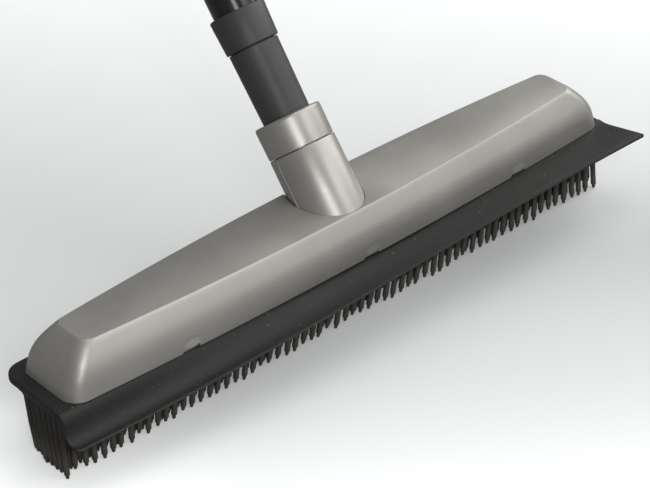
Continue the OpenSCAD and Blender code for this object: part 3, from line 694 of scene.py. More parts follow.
class BROOM_OT_housing(bpy.types.Operator):
    """Make the silver moulded housing with its bowed sides, ridge and release notches"""
    bl_idname = "broom.housing"
    bl_label = "Housing"

    heights = 17
    stations = 29
    corner_segments = 10
    seat_radius = 16.5 * MM
    notch_depth = 0.8 * MM
    notch_height = 1.6 * MM
    # How far the notch cutters reach out of the wall and below the bottom edge
    cutter_depth = 3 * MM
    cutter_below = 1 * MM
    # How near a vertex lies to its station, and how high above the bottom edge the rim is made level
    station_reach = 0.3 * MM
    rim_reach = 0.8 * MM

    def execute(self, context):
        head = context.scene.broom_head
        low_z = HOUSING_LOW.z
        height = HOUSING_HIGH.z - low_z
        half_l = HOUSING_HIGH.x
        half_w = HOUSING_HIGH.y - head.bottom_bow
        obj = empty_mesh("housing_shell")
        for step in range(self.heights + 1):
            share = step / self.heights
            z = low_z + share * height
            long = half_l - head.end_inset * profile_at(share, 1)
            wide = half_w - head.side_inset * profile_at(share, 2)
            corner = head.corner + (head.top_corner - head.corner) * share
            rounded_plane(obj, (-long, -wide), (long, wide), z, corner, head.rear_corner,
                          self.corner_segments)
            bpy.ops.mesh.delete(type="ONLY_FACE")
            pick(obj, "EDGE", lambda e: at_level(e.verts[0], z) and e.calc_length() > half_l)
            bpy.ops.mesh.subdivide(number_cuts=self.stations)
            bow = head.bottom_bow + (head.top_bow - head.bottom_bow) * share
            self.bow_side(obj, z, -1, long - corner, bow)
            self.bow_side(obj, z, 1, long - head.rear_corner, bow)
        pick(obj, "EDGE", lambda e: True)
        bpy.ops.mesh.bridge_edge_loops()
        top = low_z + height
        pick(obj, "EDGE", lambda e: e.is_boundary and edge_at_level(e, top))
        bpy.ops.mesh.edge_face_add()
        pick(obj, "EDGE", lambda e: edge_at_level(e, top))
        bpy.ops.mesh.bevel(offset=head.ridge, segments=3, profile=0.5)
        face_outwards()
        bpy.ops.object.mode_set(mode="OBJECT")
        modifier(obj, "SOLIDIFY", thickness=head.wall, offset=-1.0)
        self.flatten_rim(obj, low_z)
        self.cut_seat(obj)
        self.cut_notches(obj, head, half_w)
        finish_piece(obj, "head", "head_housing", "silver_plastic", smooth=38)
        return {"FINISHED"}

    def bow_side(self, obj, z, side, run, bow):
        """Swells one long side of the outline at one height, one station at a time."""
        for station in range(1, self.stations + 1):
            u = 2 * station / (self.stations + 1) - 1
            pick(obj, "VERT", lambda v: v.co.y * side > 0 and at_level(v, z)
                 and abs(v.co.x - u * run) < self.station_reach)
            bpy.ops.transform.translate(value=(0, side * bow * (1 - u * u), 0))

    def flatten_rim(self, obj, low_z):
        """Brings the whole bottom rim level with the bottom edge."""
        only(obj)
        bpy.ops.object.mode_set(mode="EDIT")
        pick(obj, "VERT", lambda v: v.co.z < low_z + self.rim_reach)
        bpy.ops.transform.resize(value=(1, 1, 0), center_override=(0, 0, low_z))
        bpy.ops.object.mode_set(mode="OBJECT")

    def cut_seat(self, obj):
        """Opens the top face where the socket passes through it."""
        deselect_all()
        bpy.ops.mesh.primitive_cylinder_add(vertices=96, radius=self.seat_radius, depth=60 * MM)
        cutter = bpy.context.object
        place_on_axis(cutter)
        cut_box(cutter, (-1, -1, -1), (1, SOCKET_FRONT - 0.12 * MM, 1))
        cut_away(obj, cutter)

    def cut_notches(self, obj, head, half_w):
        """Cuts the clip release notches into the bottom edge of both long sides."""
        run = HOUSING_HIGH.x - head.corner
        cutter = empty_mesh("notch_cutter")
        for x in (-head.notch_spacing, head.notch_middle, head.notch_spacing):
            for side in (-1, 1):
                face_y = half_w + head.bottom_bow * (1 - (x / run) ** 2)
                middle = (x, side * (face_y - self.notch_depth + self.cutter_depth / 2),
                          HOUSING_LOW.z + (self.notch_height - self.cutter_below) / 2)
                bpy.ops.mesh.select_all(action="DESELECT")
                bpy.ops.mesh.primitive_cube_add(size=1, location=middle)
                size = (head.notch_width, self.cutter_depth, self.notch_height + self.cutter_below)
                bpy.ops.transform.resize(value=size, center_override=middle)
        bpy.ops.object.mode_set(mode="OBJECT")
        cut_away(obj, cutter)


class BROOM_OT_socket(bpy.types.Operator):
    """Make the handle socket: a full tube with a raised front shell that ends in two parting ridges"""
    bl_idname = "broom.socket"
    bl_label = "Handle socket"

    # Height above the floor at which the foot is cut level
    foot_height = 45.4 * MM

    def execute(self, context):
        mouth = 22.5 * MM
        low = -30 * MM
        bore = 11.4 * MM
        spigot = 12.9 * MM
        back = 16.1 * MM
        neck = 32 * MM
        obj = turned("socket_shell", [
            (bore, low), (back, low), (back - 0.3 * MM, mouth - 0.4 * MM), (back - 0.7 * MM, mouth),
            (spigot, mouth), (spigot, neck - 0.4 * MM), (spigot - 0.4 * MM, neck), (bore, neck)])
        front = turned("socket_front", [
            (back - 1 * MM, low), (16.4 * MM, low), (16.05 * MM, mouth - 0.5 * MM),
            (15.85 * MM, mouth - 0.12 * MM), (15.55 * MM, mouth + 0.02 * MM),
            (back - 1 * MM, mouth + 0.02 * MM)])
        cut_box(front, (-1, -0.8 * MM, -1), (1, 1, 1))
        bead = turned("socket_bead", [
            (back - 1 * MM, low), (16.65 * MM, low), (16.35 * MM, mouth - 1.5 * MM),
            (back - 1 * MM, mouth - 0.5 * MM)])
        cut_box(bead, (-1, -0.4 * MM, -1), (1, 1, 1))
        cut_box(bead, (-1, -1, -1), (1, -1.1 * MM, 1))
        for piece in (front, bead):
            soften(piece, 0.2 * MM, 2, 50)
            unite(obj, piece)
        place_on_axis(obj)
        cut_box(obj, (-1, -1, -1), (1, SOCKET_FRONT, 1))
        cut_box(obj, (-1, -1, -1), (1, 1, self.foot_height))
        finish_piece(obj, "head", "handle_socket", "silver_plastic")
        return {"FINISHED"}


class BROOM_OT_socket_collar(bpy.types.Operator):
    """Make the silver clamping collar on the socket"""
    bl_idname = "broom.socket_collar"
    bl_label = "Socket collar"

    def execute(self, context):
        low, high, radius = along_axis("socket_collar")
        low -= 0.55 * MM
        inner = 13 * MM
        mouth = 11.7 * MM
        lip = 1.6 * MM
        radius += 0.35 * MM
        start = radius - 0.15 * MM
        obj = turned("socket_collar_ring", [
            (inner, low), (start - 0.3 * MM, low), (start, low + 0.3 * MM), (radius, high - 1.5 * MM),
            (radius - 0.1 * MM, high - 0.9 * MM), (radius - 0.45 * MM, high - 0.35 * MM),
            (radius - 1.0 * MM, high - 0.05 * MM), (radius - 1.6 * MM, high), (mouth + 0.5 * MM, high),
            (mouth, high - 0.4 * MM), (mouth, high - lip), (inner, high - lip)])
        place_on_axis(obj)
        finish_piece(obj, "socket_collar", "socket_collar", "silver_plastic")
        return {"FINISHED"}


class BROOM_OT_ferrule(bpy.types.Operator):
    """Make the dark ferrule that the tube is pushed on, and the collar above it"""
    bl_idname = "broom.ferrule"
    bl_label = "Ferrule and its collar"

    def execute(self, context):
        low, high, radius = along_axis("ferrule")
        collar_high = along_axis("socket_collar")[1]
        ring_low, ring_high, ring_radius = along_axis("ferrule_collar")
        top = ring_low - 0.9 * MM
        ring_low -= 0.55 * MM
        lower = 11.3 * MM
        neck = 10.1 * MM
        inside = 8.9 * MM
        neck_inside = 7.7 * MM
        obj = turned("ferrule_body", [
            (inside, low), (lower - 0.8 * MM, low), (lower, low + 0.8 * MM), (lower, collar_high),
            (radius - 0.02 * MM, top - 0.4 * MM), (radius - 0.4 * MM, top), (neck, top),
            (neck, high - 0.8 * MM), (neck - 0.8 * MM, high), (neck_inside, high),
            (neck_inside, collar_high), (inside, collar_high)])
        place_on_axis(obj)
        finish_piece(obj, "handle", "ferrule", "dark_plastic")
        start = ring_radius - 0.65 * MM
        tube = along_axis("lower_tube")[2]
        bore = 10.2 * MM
        step = ring_low + 4.7 * MM
        mouth = tube + 0.15 * MM
        room = tube + 1.1 * MM
        lip = ring_high - 2.2 * MM
        ring = turned("ferrule_collar_ring", [
            (bore, ring_low), (start - 0.4 * MM, ring_low), (start, ring_low + 0.4 * MM),
            (ring_radius, ring_high - 0.9 * MM), (ring_radius - 0.25 * MM, ring_high - 0.3 * MM),
            (ring_radius - 0.8 * MM, ring_high), (mouth, ring_high), (mouth, lip), (room, lip),
            (room, step), (bore, step)])
        place_on_axis(ring)
        finish_piece(ring, "ferrule_collar", "ferrule_collar", "dark_plastic")
        return {"FINISHED"}


class BROOM_OT_tubes(bpy.types.Operator):
    """Make the two painted steel tubes of the telescopic handle"""
    bl_idname = "broom.tubes"
    bl_label = "Tubes"

    def execute(self, context):
        wall = 0.8 * MM
        edge = 0.2 * MM
        for node, body in (("lower_tube", "handle"), ("upper_tube", "upper_handle")):
            low, high, radius = along_axis(node)
            obj = turned(f"{node}_painted", [
                (radius - wall, low), (radius - edge, low), (radius, low + edge), (radius, high - edge),
                (radius - edge, high), (radius - wall, high)])
            place_on_axis(obj)
            finish_piece(obj, body, node, "gloss_black_paint")
        return {"FINISHED"}


class BROOM_OT_twist_lock(bpy.types.Operator):
    """Make the sleeve and the fluted collar of the twist lock"""
    bl_idname = "broom.twist_lock"
    bl_label = "Twist lock"

    def execute(self, context):
        flutes = context.scene.broom_handle.flutes
        low, high, radius = along_axis("lock_sleeve")
        lock_low, lock_high, lock_radius = along_axis("lock_collar")
        tube_high, tube = along_axis("lower_tube")[1:]
        mouth = along_axis("upper_tube")[2] + 0.1 * MM
        sleeve = tube + 1.8 * MM
        cone = tube_high + 6 * MM
        shoulder = lock_low - 1 * MM
        obj = turned("lock_sleeve_body", [
            (tube, low), (sleeve - 0.3 * MM, low + 0.4 * MM), (sleeve, low + 1.5 * MM),
            (radius, shoulder - 1 * MM), (radius, shoulder - 0.2 * MM), (radius - 0.2 * MM, shoulder),
            (sleeve, shoulder), (sleeve, cone - 2 * MM), (tube, cone), (mouth + 2.2 * MM, high),
            (mouth + 1 * MM, high), (mouth, cone), (mouth, tube_high + 0.1 * MM),
            (tube, tube_high + 0.1 * MM)])
        place_on_axis(obj)
        finish_piece(obj, "handle", "lock_sleeve", "dark_plastic")
        bore = sleeve + 0.1 * MM
        collar = turned("lock_collar_fluted", [
            (bore, lock_low), (lock_radius - 1 * MM, lock_low),
            (lock_radius - 0.3 * MM, lock_low + 0.4 * MM),
            (lock_radius, lock_low + 1.5 * MM), (lock_radius - 0.8 * MM, lock_high - 3 * MM),
            (lock_radius - 1.6 * MM, lock_high - 1 * MM), (lock_radius - 3 * MM, lock_high),
            (mouth + 0.2 * MM, lock_high), (mouth + 0.2 * MM, lock_high - 2.2 * MM),
            (mouth + 1.45 * MM, lock_high - 2.2 * MM), (bore, high + 0.2 * MM)])
        flute = 2 * MM
        deselect_all()
        bpy.ops.mesh.primitive_cylinder_add(
            vertices=24, radius=flute, depth=lock_high - lock_low,
            location=(lock_radius + 0.4 * flute, 0, (lock_low + lock_high) / 2 + 4 * MM))
        cutter = context.object
        bpy.ops.object.transform_apply(location=True)
        only(cutter)
        bpy.ops.object.mode_set(mode="EDIT")
        for _ in range(flutes - 1):
            bpy.ops.mesh.duplicate()
            bpy.ops.transform.rotate(value=math.tau / flutes, orient_axis="Z", center_override=(0, 0, 0))
        bpy.ops.object.mode_set(mode="OBJECT")
        cut_away(collar, cutter)
        soften(collar, 0.35 * MM, 2, 35)
        place_on_axis(collar)
        finish_piece(collar, "lock_collar", "lock_collar", "dark_plastic")
        return {"FINISHED"}


class BROOM_OT_grip(bpy.types.Operator):
    """Make the grooved grip and the end cap with its hanging hole"""
    bl_idname = "broom.grip"
    bl_label = "Grip and cap"

    plain_end = 12 * MM
    # Share of a groove's step, and how far the grip is drawn in there, in millimetres
    groove = ((0, 0), (0.06, 0.35), (0.14, 0.8), (0.22, 1), (0.38, 1), (0.46, 0.8), (0.54, 0.35), (0.6, 0))

    def execute(self, context):
        grooves = context.scene.broom_handle.grip_grooves
        low, high, radius = along_axis("grip")
        tube = along_axis("upper_tube")[2]
        step = (high - low - 2 * self.plain_end) / grooves
        profile = [(tube, low), (radius - 2 * MM, low), (radius - 1.2 * MM, low + 0.3 * MM),
                   (radius - 0.6 * MM, low + 1 * MM), (radius, low + 3 * MM)]
        for i in range(grooves):
            start = low + self.plain_end + i * step
            for share, drop in self.groove:
                profile.append((radius - drop * MM, start + share * step))
        profile += [(radius, high - 1 * MM), (radius - 0.3 * MM, high - 0.3 * MM), (radius - 1 * MM, high),
                    (tube, high)]
        obj = turned("grip_sleeve", profile)
        place_on_axis(obj)
        finish_piece(obj, "upper_handle", "grip", "grip_rubber", smooth=50)
        self.make_cap(high, radius)
        return {"FINISHED"}

    def cross_cylinder(self, vertices, radius, depth, place):
        """A cylinder that lies across the handle at a place on its axis."""
        deselect_all()
        bpy.ops.mesh.primitive_cylinder_add(
            vertices=vertices, radius=radius, depth=depth, location=(0, 0, place),
            rotation=(math.pi / 2, 0, 0))
        bpy.ops.object.transform_apply(location=True, rotation=True)
        return bpy.context.object

    def make_cap(self, grip_high, radius):
        """The plug, its shoulder and the flat eye with the hanging hole."""
        low = along_axis("end_cap")[0]
        plug = 8.48 * MM
        start = grip_high + 0.1 * MM
        shoulder = grip_high + 9 * MM
        eye = shoulder + 6.5 * MM
        thick = 9 * MM
        hole = 5 * MM
        tab = radius - 2 * MM
        cap = turned("end_cap_plug", [
            (plug - 0.5 * MM, low), (plug, low + 0.5 * MM), (plug, start), (radius - 0.4 * MM, start),
            (radius, start + 0.4 * MM), (radius, start + 3 * MM), (radius - 0.8 * MM, start + 5.5 * MM),
            (radius - 3 * MM, shoulder)], solid=True)
        unite(cap, self.cross_cylinder(96, tab, thick, eye), "EXACT")
        cut_away(cap, self.cross_cylinder(64, hole, 3 * thick, eye))
        soften(cap, 0.6 * MM, 3, 40)
        place_on_axis(cap)
        finish_piece(cap, "upper_handle", "end_cap", "dark_plastic")


# The rubber

class BROOM_OT_rubber_lip(bpy.types.Operator):
    """Make the rubber lip under the housing and the backing that the strands grow from"""
    bl_idname = "broom.rubber_lip"
    bl_label = "Rubber lip"

    rear_inset = Vector((0, 1.4, 0)) * MM
    front_corner = 0.4 * MM
    # Height above the backing's underside, and how far the fillet stands out there, in millimetres
    fillet = ((0.05, 0.0), (0.6, 0.25), (1.3, 0.8), (2.0, 1.6), (2.8, 3.0), (3.2, 3.0))

    def execute(self, context):
        rubber = context.scene.broom_rubber
        top = LIP_LOW.z + LIP_THICKNESS
        obj = empty_mesh("rubber_lip")
        rounded_plane(obj, LIP_LOW, LIP_HIGH - self.rear_inset, LIP_LOW.z, self.front_corner,
                      rubber.rear_corner, 10)
        bpy.ops.mesh.extrude_region_move(TRANSFORM_OT_translate={"value": (0, 0, top - LIP_LOW.z)})
        face_outwards()
        front = LIP_LOW.y + 0.2 * MM
        pick(obj, "EDGE", lambda e: at_level(e.verts[0], e.verts[1].co.z)
             and max(v.co.y for v in e.verts) > front)
        bpy.ops.mesh.bevel(offset=0.9 * MM, segments=3, profile=0.5)
        self.add_backing(obj)
        bpy.ops.object.mode_set(mode="OBJECT")
        finish_piece(obj, "head", "rubber_base", "charcoal_rubber", smooth=50)
        return {"FINISHED"}

    def add_backing(self, obj):
        """Adds the backing under the lip, with a hollow fillet up to it."""
        root = LIP_LOW.z - BACKING_THICKNESS
        for high, out in self.fillet:
            z = root + high * MM
            grow = Vector((0.35 * out, out)) * MM
            low = BRISTLE_LOW.xy - grow
            rounded_plane(obj, low, BRISTLE_HIGH.xy + grow, z, 2 * MM + grow.x, 3 * MM + grow.x, 6)
            bpy.ops.mesh.delete(type="ONLY_FACE")
        pick(obj, "EDGE", lambda e: e.is_wire)
        bpy.ops.mesh.bridge_edge_loops()
        for end in (root + self.fillet[0][0] * MM, z):
            pick(obj, "EDGE", lambda e: e.is_boundary and edge_at_level(e, end))
            bpy.ops.mesh.edge_face_add()
        face_outwards()


class BROOM_OT_blade(bpy.types.Operator):
    """Make the soft squeegee blade, which hangs at the left end and lifts at the right"""
    bl_idname = "broom.blade"
    bl_label = "Squeegee blade"

    stations = 140
    steps = 26
    rim_width = 1.1 * MM
    # How far the root reaches into the lip, and how far its top lies below the lip's
    tuck = 3 * MM
    root_drop = 0.02 * MM
    # Slope in degrees: a lift all along, and a droop that fades from the hanging end by a power
    lift = 6
    hang = 100
    hang_fade = 1.6
    # Power that brings the steepest place nearer to the root
    bend_skew = 0.6
    # Turn of the edge back up, in degrees, at the lifted end and added at the hanging end
    curl = 2
    curl_hanging = 35
    # Powers by which the flare of the lifted end fades along the head and towards the root
    flare_fade = 12
    flare_bend = 1.5
    # Distance from the sheet's edge in rim widths, and how far the top lies below the sheet's own there
    rim = ((1.35, 0.0), (1.0, 0.16 * MM), (0.8, 0.05 * MM), (0.25, 0.12 * MM), (0.0, 0.45 * MM))

    def rim_drop(self, distance):
        """Depth of the line and the rounding along the sheet's edge."""
        for (far, low), (near, high) in zip(self.rim, self.rim[1:]):
            if near <= distance <= far:
                return low + (high - low) * (far - distance) / (far - near)
        return 0.0

    def slope(self, u, t):
        """Slope below level, in degrees, at u along the head and t from root to edge."""
        droop = self.hang * (1 - u) ** self.hang_fade - self.lift
        return (droop * math.sin(math.pi * t ** self.bend_skew)
                - (self.curl + self.curl_hanging * (1 - u)) * t)

    def reach(self, u, distance, rubber):
        """Width of the sheet at u along the head and a distance from its nearer end."""
        corner = rubber.blade_corner
        short = max(corner - distance, 0)
        return rubber.blade_width + rubber.blade_grow * u - corner + math.sqrt(corner ** 2 - short ** 2)

    def section(self, x, rubber):
        """Points of one cross section: over the top to the edge, and back underneath."""
        u = (x - LIP_LOW.x) / (LIP_HIGH.x - LIP_LOW.x)
        end_distance = min(x - LIP_LOW.x, LIP_HIGH.x - x)
        width = self.reach(u, end_distance, rubber)
        flare = rubber.blade_flare * u ** self.flare_fade
        rim = self.rim_width / width
        shares = [i / (self.steps - 1) * (1 - self.rim[0][0] * rim) for i in range(self.steps)]
        shares += [1 - row[0] * rim for row in self.rim[1:]]
        end_drop = self.rim_drop(end_distance / self.rim_width)
        y = LIP_LOW.y
        z = LIP_LOW.z + LIP_THICKNESS - rubber.blade_root / 2 - self.root_drop
        top = [(x, y + self.tuck, z + rubber.blade_root / 2)]
        under = [(x, y + self.tuck, z - rubber.blade_root / 2)]
        before = 0.0
        for share in shares:
            angle = math.radians(self.slope(u, (before + share) / 2))
            y -= math.cos(angle) * width * (share - before)
            z -= math.sin(angle) * width * (share - before)
            here = math.radians(self.slope(u, share))
            half = (rubber.blade_root + (rubber.blade_edge - rubber.blade_root) * share) / 2
            above = half - max(self.rim_drop((1 - share) / rim), end_drop)
            out = x + flare * share ** self.flare_bend
            top.append((out, y - math.sin(here) * above, z + math.cos(here) * above))
            under.append((out, y + math.sin(here) * half, z - math.cos(here) * half))
            before = share
        return top + under[::-1]

    def execute(self, context):
        rubber = context.scene.broom_rubber
        around = 2 * (self.steps + len(self.rim))
        deselect_all()
        bpy.ops.mesh.primitive_grid_add(x_subdivisions=around, y_subdivisions=self.stations, size=0.3)
        obj = context.object
        obj.name = "squeegee_sheet"
        middle = (LIP_LOW.x + LIP_HIGH.x) / 2
        half = (LIP_HIGH.x - LIP_LOW.x) / 2
        rows = sorted(set(round(v.co.y, 5) for v in obj.data.vertices))
        columns = sorted(set(round(v.co.x, 5) for v in obj.data.vertices))
        sections = [self.section(middle - half * math.cos(math.pi * i / (len(rows) - 1)), rubber)
                    for i in range(len(rows))]
        for vertex in obj.data.vertices:
            row = rows.index(round(vertex.co.y, 5))
            column = min(columns.index(round(vertex.co.x, 5)), around - 1)
            vertex.co = sections[row][column]
        only(obj)
        bpy.ops.object.mode_set(mode="EDIT")
        bpy.ops.mesh.select_all(action="SELECT")
        bpy.ops.mesh.remove_doubles(threshold=0.001 * MM)
        root = LIP_LOW.y + self.tuck - 0.1 * MM
        pick(obj, "EDGE", lambda e: e.is_boundary and all(v.co.y > root for v in e.verts)
             and abs(e.verts[0].co.x - e.verts[1].co.x) > TOLERANCE)
        bpy.ops.mesh.bridge_edge_loops()
        for end in (-1, 1):
            pick(obj, "EDGE", lambda e: e.is_boundary and all(
                (v.co.x - middle) * end > half - TOLERANCE for v in e.verts))
            bpy.ops.mesh.edge_face_add()
        face_outwards()
        bpy.ops.object.mode_set(mode="OBJECT")
        finish_piece(obj, "head", "squeegee_blade", "charcoal_rubber", smooth=40)
        return {"FINISHED"}


class BROOM_OT_strands(bpy.types.Operator):
    """Make the field of stepped rubber strands"""
    bl_idname = "broom.strands"
    bl_label = "Rubber strands"

    seed = 12
    sides = 8
    # Shift of every other row, in pitches, and the columns at the left end over which it grows
    stagger = 0.1
    stagger_columns = 8
    # How far the last column stands past the CAD bristles' roots, and the outer columns' clearance
    overhang = 2 * MM
    end_gap = 0.6 * MM
    # How far a strand's root reaches up into the backing
    sunk = 0.4 * MM
    # Radius in root radii, and share of the strand's length below its root
    shape = ((1.1, 0.0), (1.0, 0.04), (0.98, 0.5), (0.93, 0.8),
             (0.92, 0.935), (0.64, 0.945), (0.58, 0.98), (0.46, 1.0))
    # Sweep of the tips in combs, where u runs from 0 at the left end to 1 at the right one
    # To the left: the first times u * (1 - u), and the second times u
    left_in_middle = 7
    left_at_right = 0.3
    # Forwards: u squared, and (1 - u) squared times the first in front and the sum of both at the rear
    forwards_at_left = 0.43
    rear_more = 0.7
    # Power of the bend down a strand, and the share of its length from which its tip flicks, and how much
    bend = 1.5
    flick_from = 0.6
    flick_share = 0.5

    def model_strand(self, root_z, rubber):
        """One strand, modelled once: a slightly tapered body, a step and a narrower tip."""
        root = rubber.strand_root / 2
        shape = [(root * wide, share) for wide, share in self.shape]
        deselect_all()
        bpy.ops.mesh.primitive_circle_add(vertices=self.sides, radius=shape[0][0], fill_type="NGON")
        obj = bpy.context.object
        bpy.ops.object.mode_set(mode="EDIT")
        bpy.ops.mesh.select_all(action="SELECT")
        length = root_z + self.sunk
        bpy.ops.transform.translate(value=(0, 0, length))
        before_radius, before_share = shape[0]
        for radius, share in shape[1:]:
            bpy.ops.mesh.extrude_region_move(
                TRANSFORM_OT_translate={"value": (0, 0, -(share - before_share) * length)})
            grow = radius / before_radius
            bpy.ops.transform.resize(value=(grow, grow, 1))
            before_radius, before_share = radius, share
        face_outwards()
        bpy.ops.object.mode_set(mode="OBJECT")
        return obj

    def execute(self, context):
        rubber = context.scene.broom_rubber
        rng = random.Random(self.seed)
        root_z = LIP_LOW.z - BACKING_THICKNESS
        model = self.model_strand(root_z, rubber)
        rows = rubber.strand_rows
        columns = rubber.strand_columns
        edge = self.end_gap + rubber.strand_root / 2
        middle = (columns - 1) / 2
        low_pitch = (-BRISTLE_LOW.x - edge) / middle
        high_pitch = (BRISTLE_HIGH.x + self.overhang - edge) / (middle + self.stagger)
        copies = []
        for row in range(rows):
            from_middle = row - (rows - 1) / 2
            for column in range(columns):
                shift = self.stagger * (from_middle % 2) * min(column / self.stagger_columns, 1)
                place = column - middle + shift
                x = place * (low_pitch if place < 0 else high_pitch)
                y = from_middle * rubber.row_pitch
                u = column / (columns - 1)
                rear = row / (rows - 1)
                left_end = (self.forwards_at_left + self.rear_more * rear) * (1 - u) ** 2
                sweep = Vector((-self.left_in_middle * u * (1 - u) - self.left_at_right * u,
                                -u ** 2 - left_end)) * rubber.comb
                copies.append(self.copy_strand(model, x, y, root_z, sweep, rng))
        bpy.data.objects.remove(model)
        deselect_all()
        for copy in copies:
            copy.select_set(True)
        context.view_layer.objects.active = copies[0]
        bpy.ops.object.join()
        obj = context.object
        obj.name = "strand_field"
        finish_piece(obj, "head", "bristles", "strand_rubber", smooth=60)
        return {"FINISHED"}

    def copy_strand(self, model, x, y, root_z, sweep, rng):
        """A copy with its own mesh, set in its place, turned, bent and shortened a little."""
        copy = model.copy()
        copy.data = model.data.copy()
        bpy.context.scene.collection.objects.link(copy)
        turn = rng.uniform(0, math.tau)
        way = rng.uniform(0, math.tau)
        lean = rng.uniform(0.0, 0.6) * MM
        flick = rng.uniform(-0.3, 0.5) * MM
        short = rng.choice((0.0, 0.4, 0.9, 1.6, 2.6)) * MM
        for vertex in copy.data.vertices:
            depth = max(0.0, 1 - vertex.co.z / root_z)
            tip = max(0.0, depth - self.flick_from) / (1 - self.flick_from)
            out = lean * depth ** self.bend + flick * self.flick_share * tip ** 2
            px = x + vertex.co.x * math.cos(turn) - vertex.co.y * math.sin(turn) + out * math.cos(way)
            py = y + vertex.co.x * math.sin(turn) + vertex.co.y * math.cos(turn) + out * math.sin(way)
            vertex.co.x = max(px, BRISTLE_LOW.x) + sweep.x * depth ** self.bend
            vertex.co.y = py + sweep.y * depth ** self.bend
            vertex.co.z += short * depth
        return copy


class BROOM_OT_inner_parts(bpy.types.Operator):
    """Give the parts inside the broom their finishes"""
    bl_idname = "broom.inner_parts"
    bl_label = "Inner parts"

    def execute(self, context):
        for node in ("carrier_plate", "socket_collet", "ferrule_collet", "lock_collet", "slide_bush"):
            self.paint(node, material_named("dark_plastic"))
        self.paint("foot_screws", material_named("zinc_plate"))
        return {"FINISHED"}

    def paint(self, node, material):
        """Gives every material slot of a CAD node this material."""
        obj = frame["nodes"][node]
        if not obj.material_slots:
            obj.data.materials.append(material)
        for place in obj.material_slots:
            place.material = material


# The stage

CAMERA_PLACE = Vector((-0.569706, -0.656684, 0.633872))
CAMERA_AZIMUTH = math.radians(-40.724)
CAMERA_ELEVATION = math.radians(34.534)
CAMERA_ROLL = math.radians(-1.904)

# Name, place in metres, size in metres and power in watts; all aim at the origin, under the head's middle
LAMPS = (
    ("top_light", (0.2, -0.1, 1.6), 1.0, 6.0),
    ("right_light", (1.4, 0.1, 0.95), 1.4, 14.5),
    ("front_light", (0.8, -0.8, 1.2), 0.7, 2.8),
    ("low_light", (1.1, -0.95, 0.45), 1.1, 2.2),
    ("fill_light", (0.45, -1.3, 0.35), 1.0, 1.6),
    ("side_light", (0.33, -0.87, 0.88), 0.4, 1.4),
    ("key_light", (-0.56, -0.8, 0.83), 0.3, 3.5),
    ("corner_light", (-0.75, -0.95, 0.31), 0.3, 1.5),
)

# Where the floor turns from pale to its painted shade or back, in metres from the origin: away from the
# camera (positive) or towards it, and to its right (positive) or left
# A painted shadow, darker still, lies to the right in a band round the middle given below, and its run is
# measured from there
# Near the left the floor is lifted towards pale with painted light, where the broom's shadow from the right
# lamp falls
FAR_PALE = (0.02, 0.55)
NEAR_PALE = (-0.02, -0.24)
PAINTED_LIGHT_SIDE = (-0.02, -0.15)
PAINTED_LIGHT_DEPTH = (-0.03, -0.12)
PAINTED_SHADOW_SIDE = (-0.05, 0.12)
PAINTED_SHADOW_MIDDLE = 0.045
PAINTED_SHADOW_RUN = (0.09, 0.0)
# Share of painted light laid on the floor near the left
PAINTED_LIGHT_LIFT = 0.7
# Tone of the painted shadow, as a share of the painted shade
PAINTED_SHADOW_TONE = 0.82


def floor_material(stage, forward, right):
    """Pale floor with painted shade in a soft band under the broom, a painted shadow to its right and
    painted light near its left, that also keeps the broom's own shadow.

    Only camera rays see this tone; all others see the plainer bounce colour.
    """
    material, tree, shader = start_material("pale_floor", roughness=0.9, Specular_IOR_Level=0.1)
    places = object_places(tree)
    depth, side = [dot_with(tree, places, way) for way in (forward, right)]
    # Painted light: the floor near the broom's left is lifted towards pale, where the right lamp's shadow
    # falls
    painted_light = maths(tree, "MULTIPLY", ramp(tree, side, *PAINTED_LIGHT_SIDE), ramp(tree, depth, *PAINTED_LIGHT_DEPTH))
    off_middle = maths(tree, "ABSOLUTE", maths(tree, "SUBTRACT", depth, PAINTED_SHADOW_MIDDLE))
    # Painted shadow: a patch to the right of the broom, round its depth
    painted_shadow = maths(tree, "MULTIPLY", ramp(tree, side, *PAINTED_SHADOW_SIDE), ramp(tree, off_middle, *PAINTED_SHADOW_RUN))
    # Painted shade: the floor is pale far off and near the camera, and turns to the painted shade in a band
    # under the broom
    pale = maths(tree, "ADD", ramp(tree, depth, *FAR_PALE), ramp(tree, depth, *NEAR_PALE))
    pale = maths(tree, "ADD", pale, maths(tree, "MULTIPLY", painted_light, PAINTED_LIGHT_LIFT))
    # The painted shadow to the right darkens the painted shade further
    low = blend_colours(tree, painted_shadow, stage.painted_shade, shade(stage.painted_shade, PAINTED_SHADOW_TONE))
    shown = blend_colours(tree, maths(tree, "MINIMUM", pale, 1.0), low, stage.pale)
    seen = tree.nodes.new("ShaderNodeLightPath").outputs["Is Camera Ray"]
    tree.links.new(blend_colours(tree, seen, stage.bounce, shown), shader.inputs["Base Color"])
    tree.links.new(shown, shader.inputs["Emission Color"])
    tree.links.new(maths(tree, "MULTIPLY", seen, stage.glow), shader.inputs["Emission Strength"])
    noise = add_node(tree, "ShaderNodeTexNoise", {"Scale": 300.0, "Detail": 2.0})
    tree.links.new(places, noise.inputs["Vector"])
    tree.links.new(bump(tree, noise.outputs["Fac"], 0.02, 0.1 * MM), shader.inputs["Normal"])
    return material


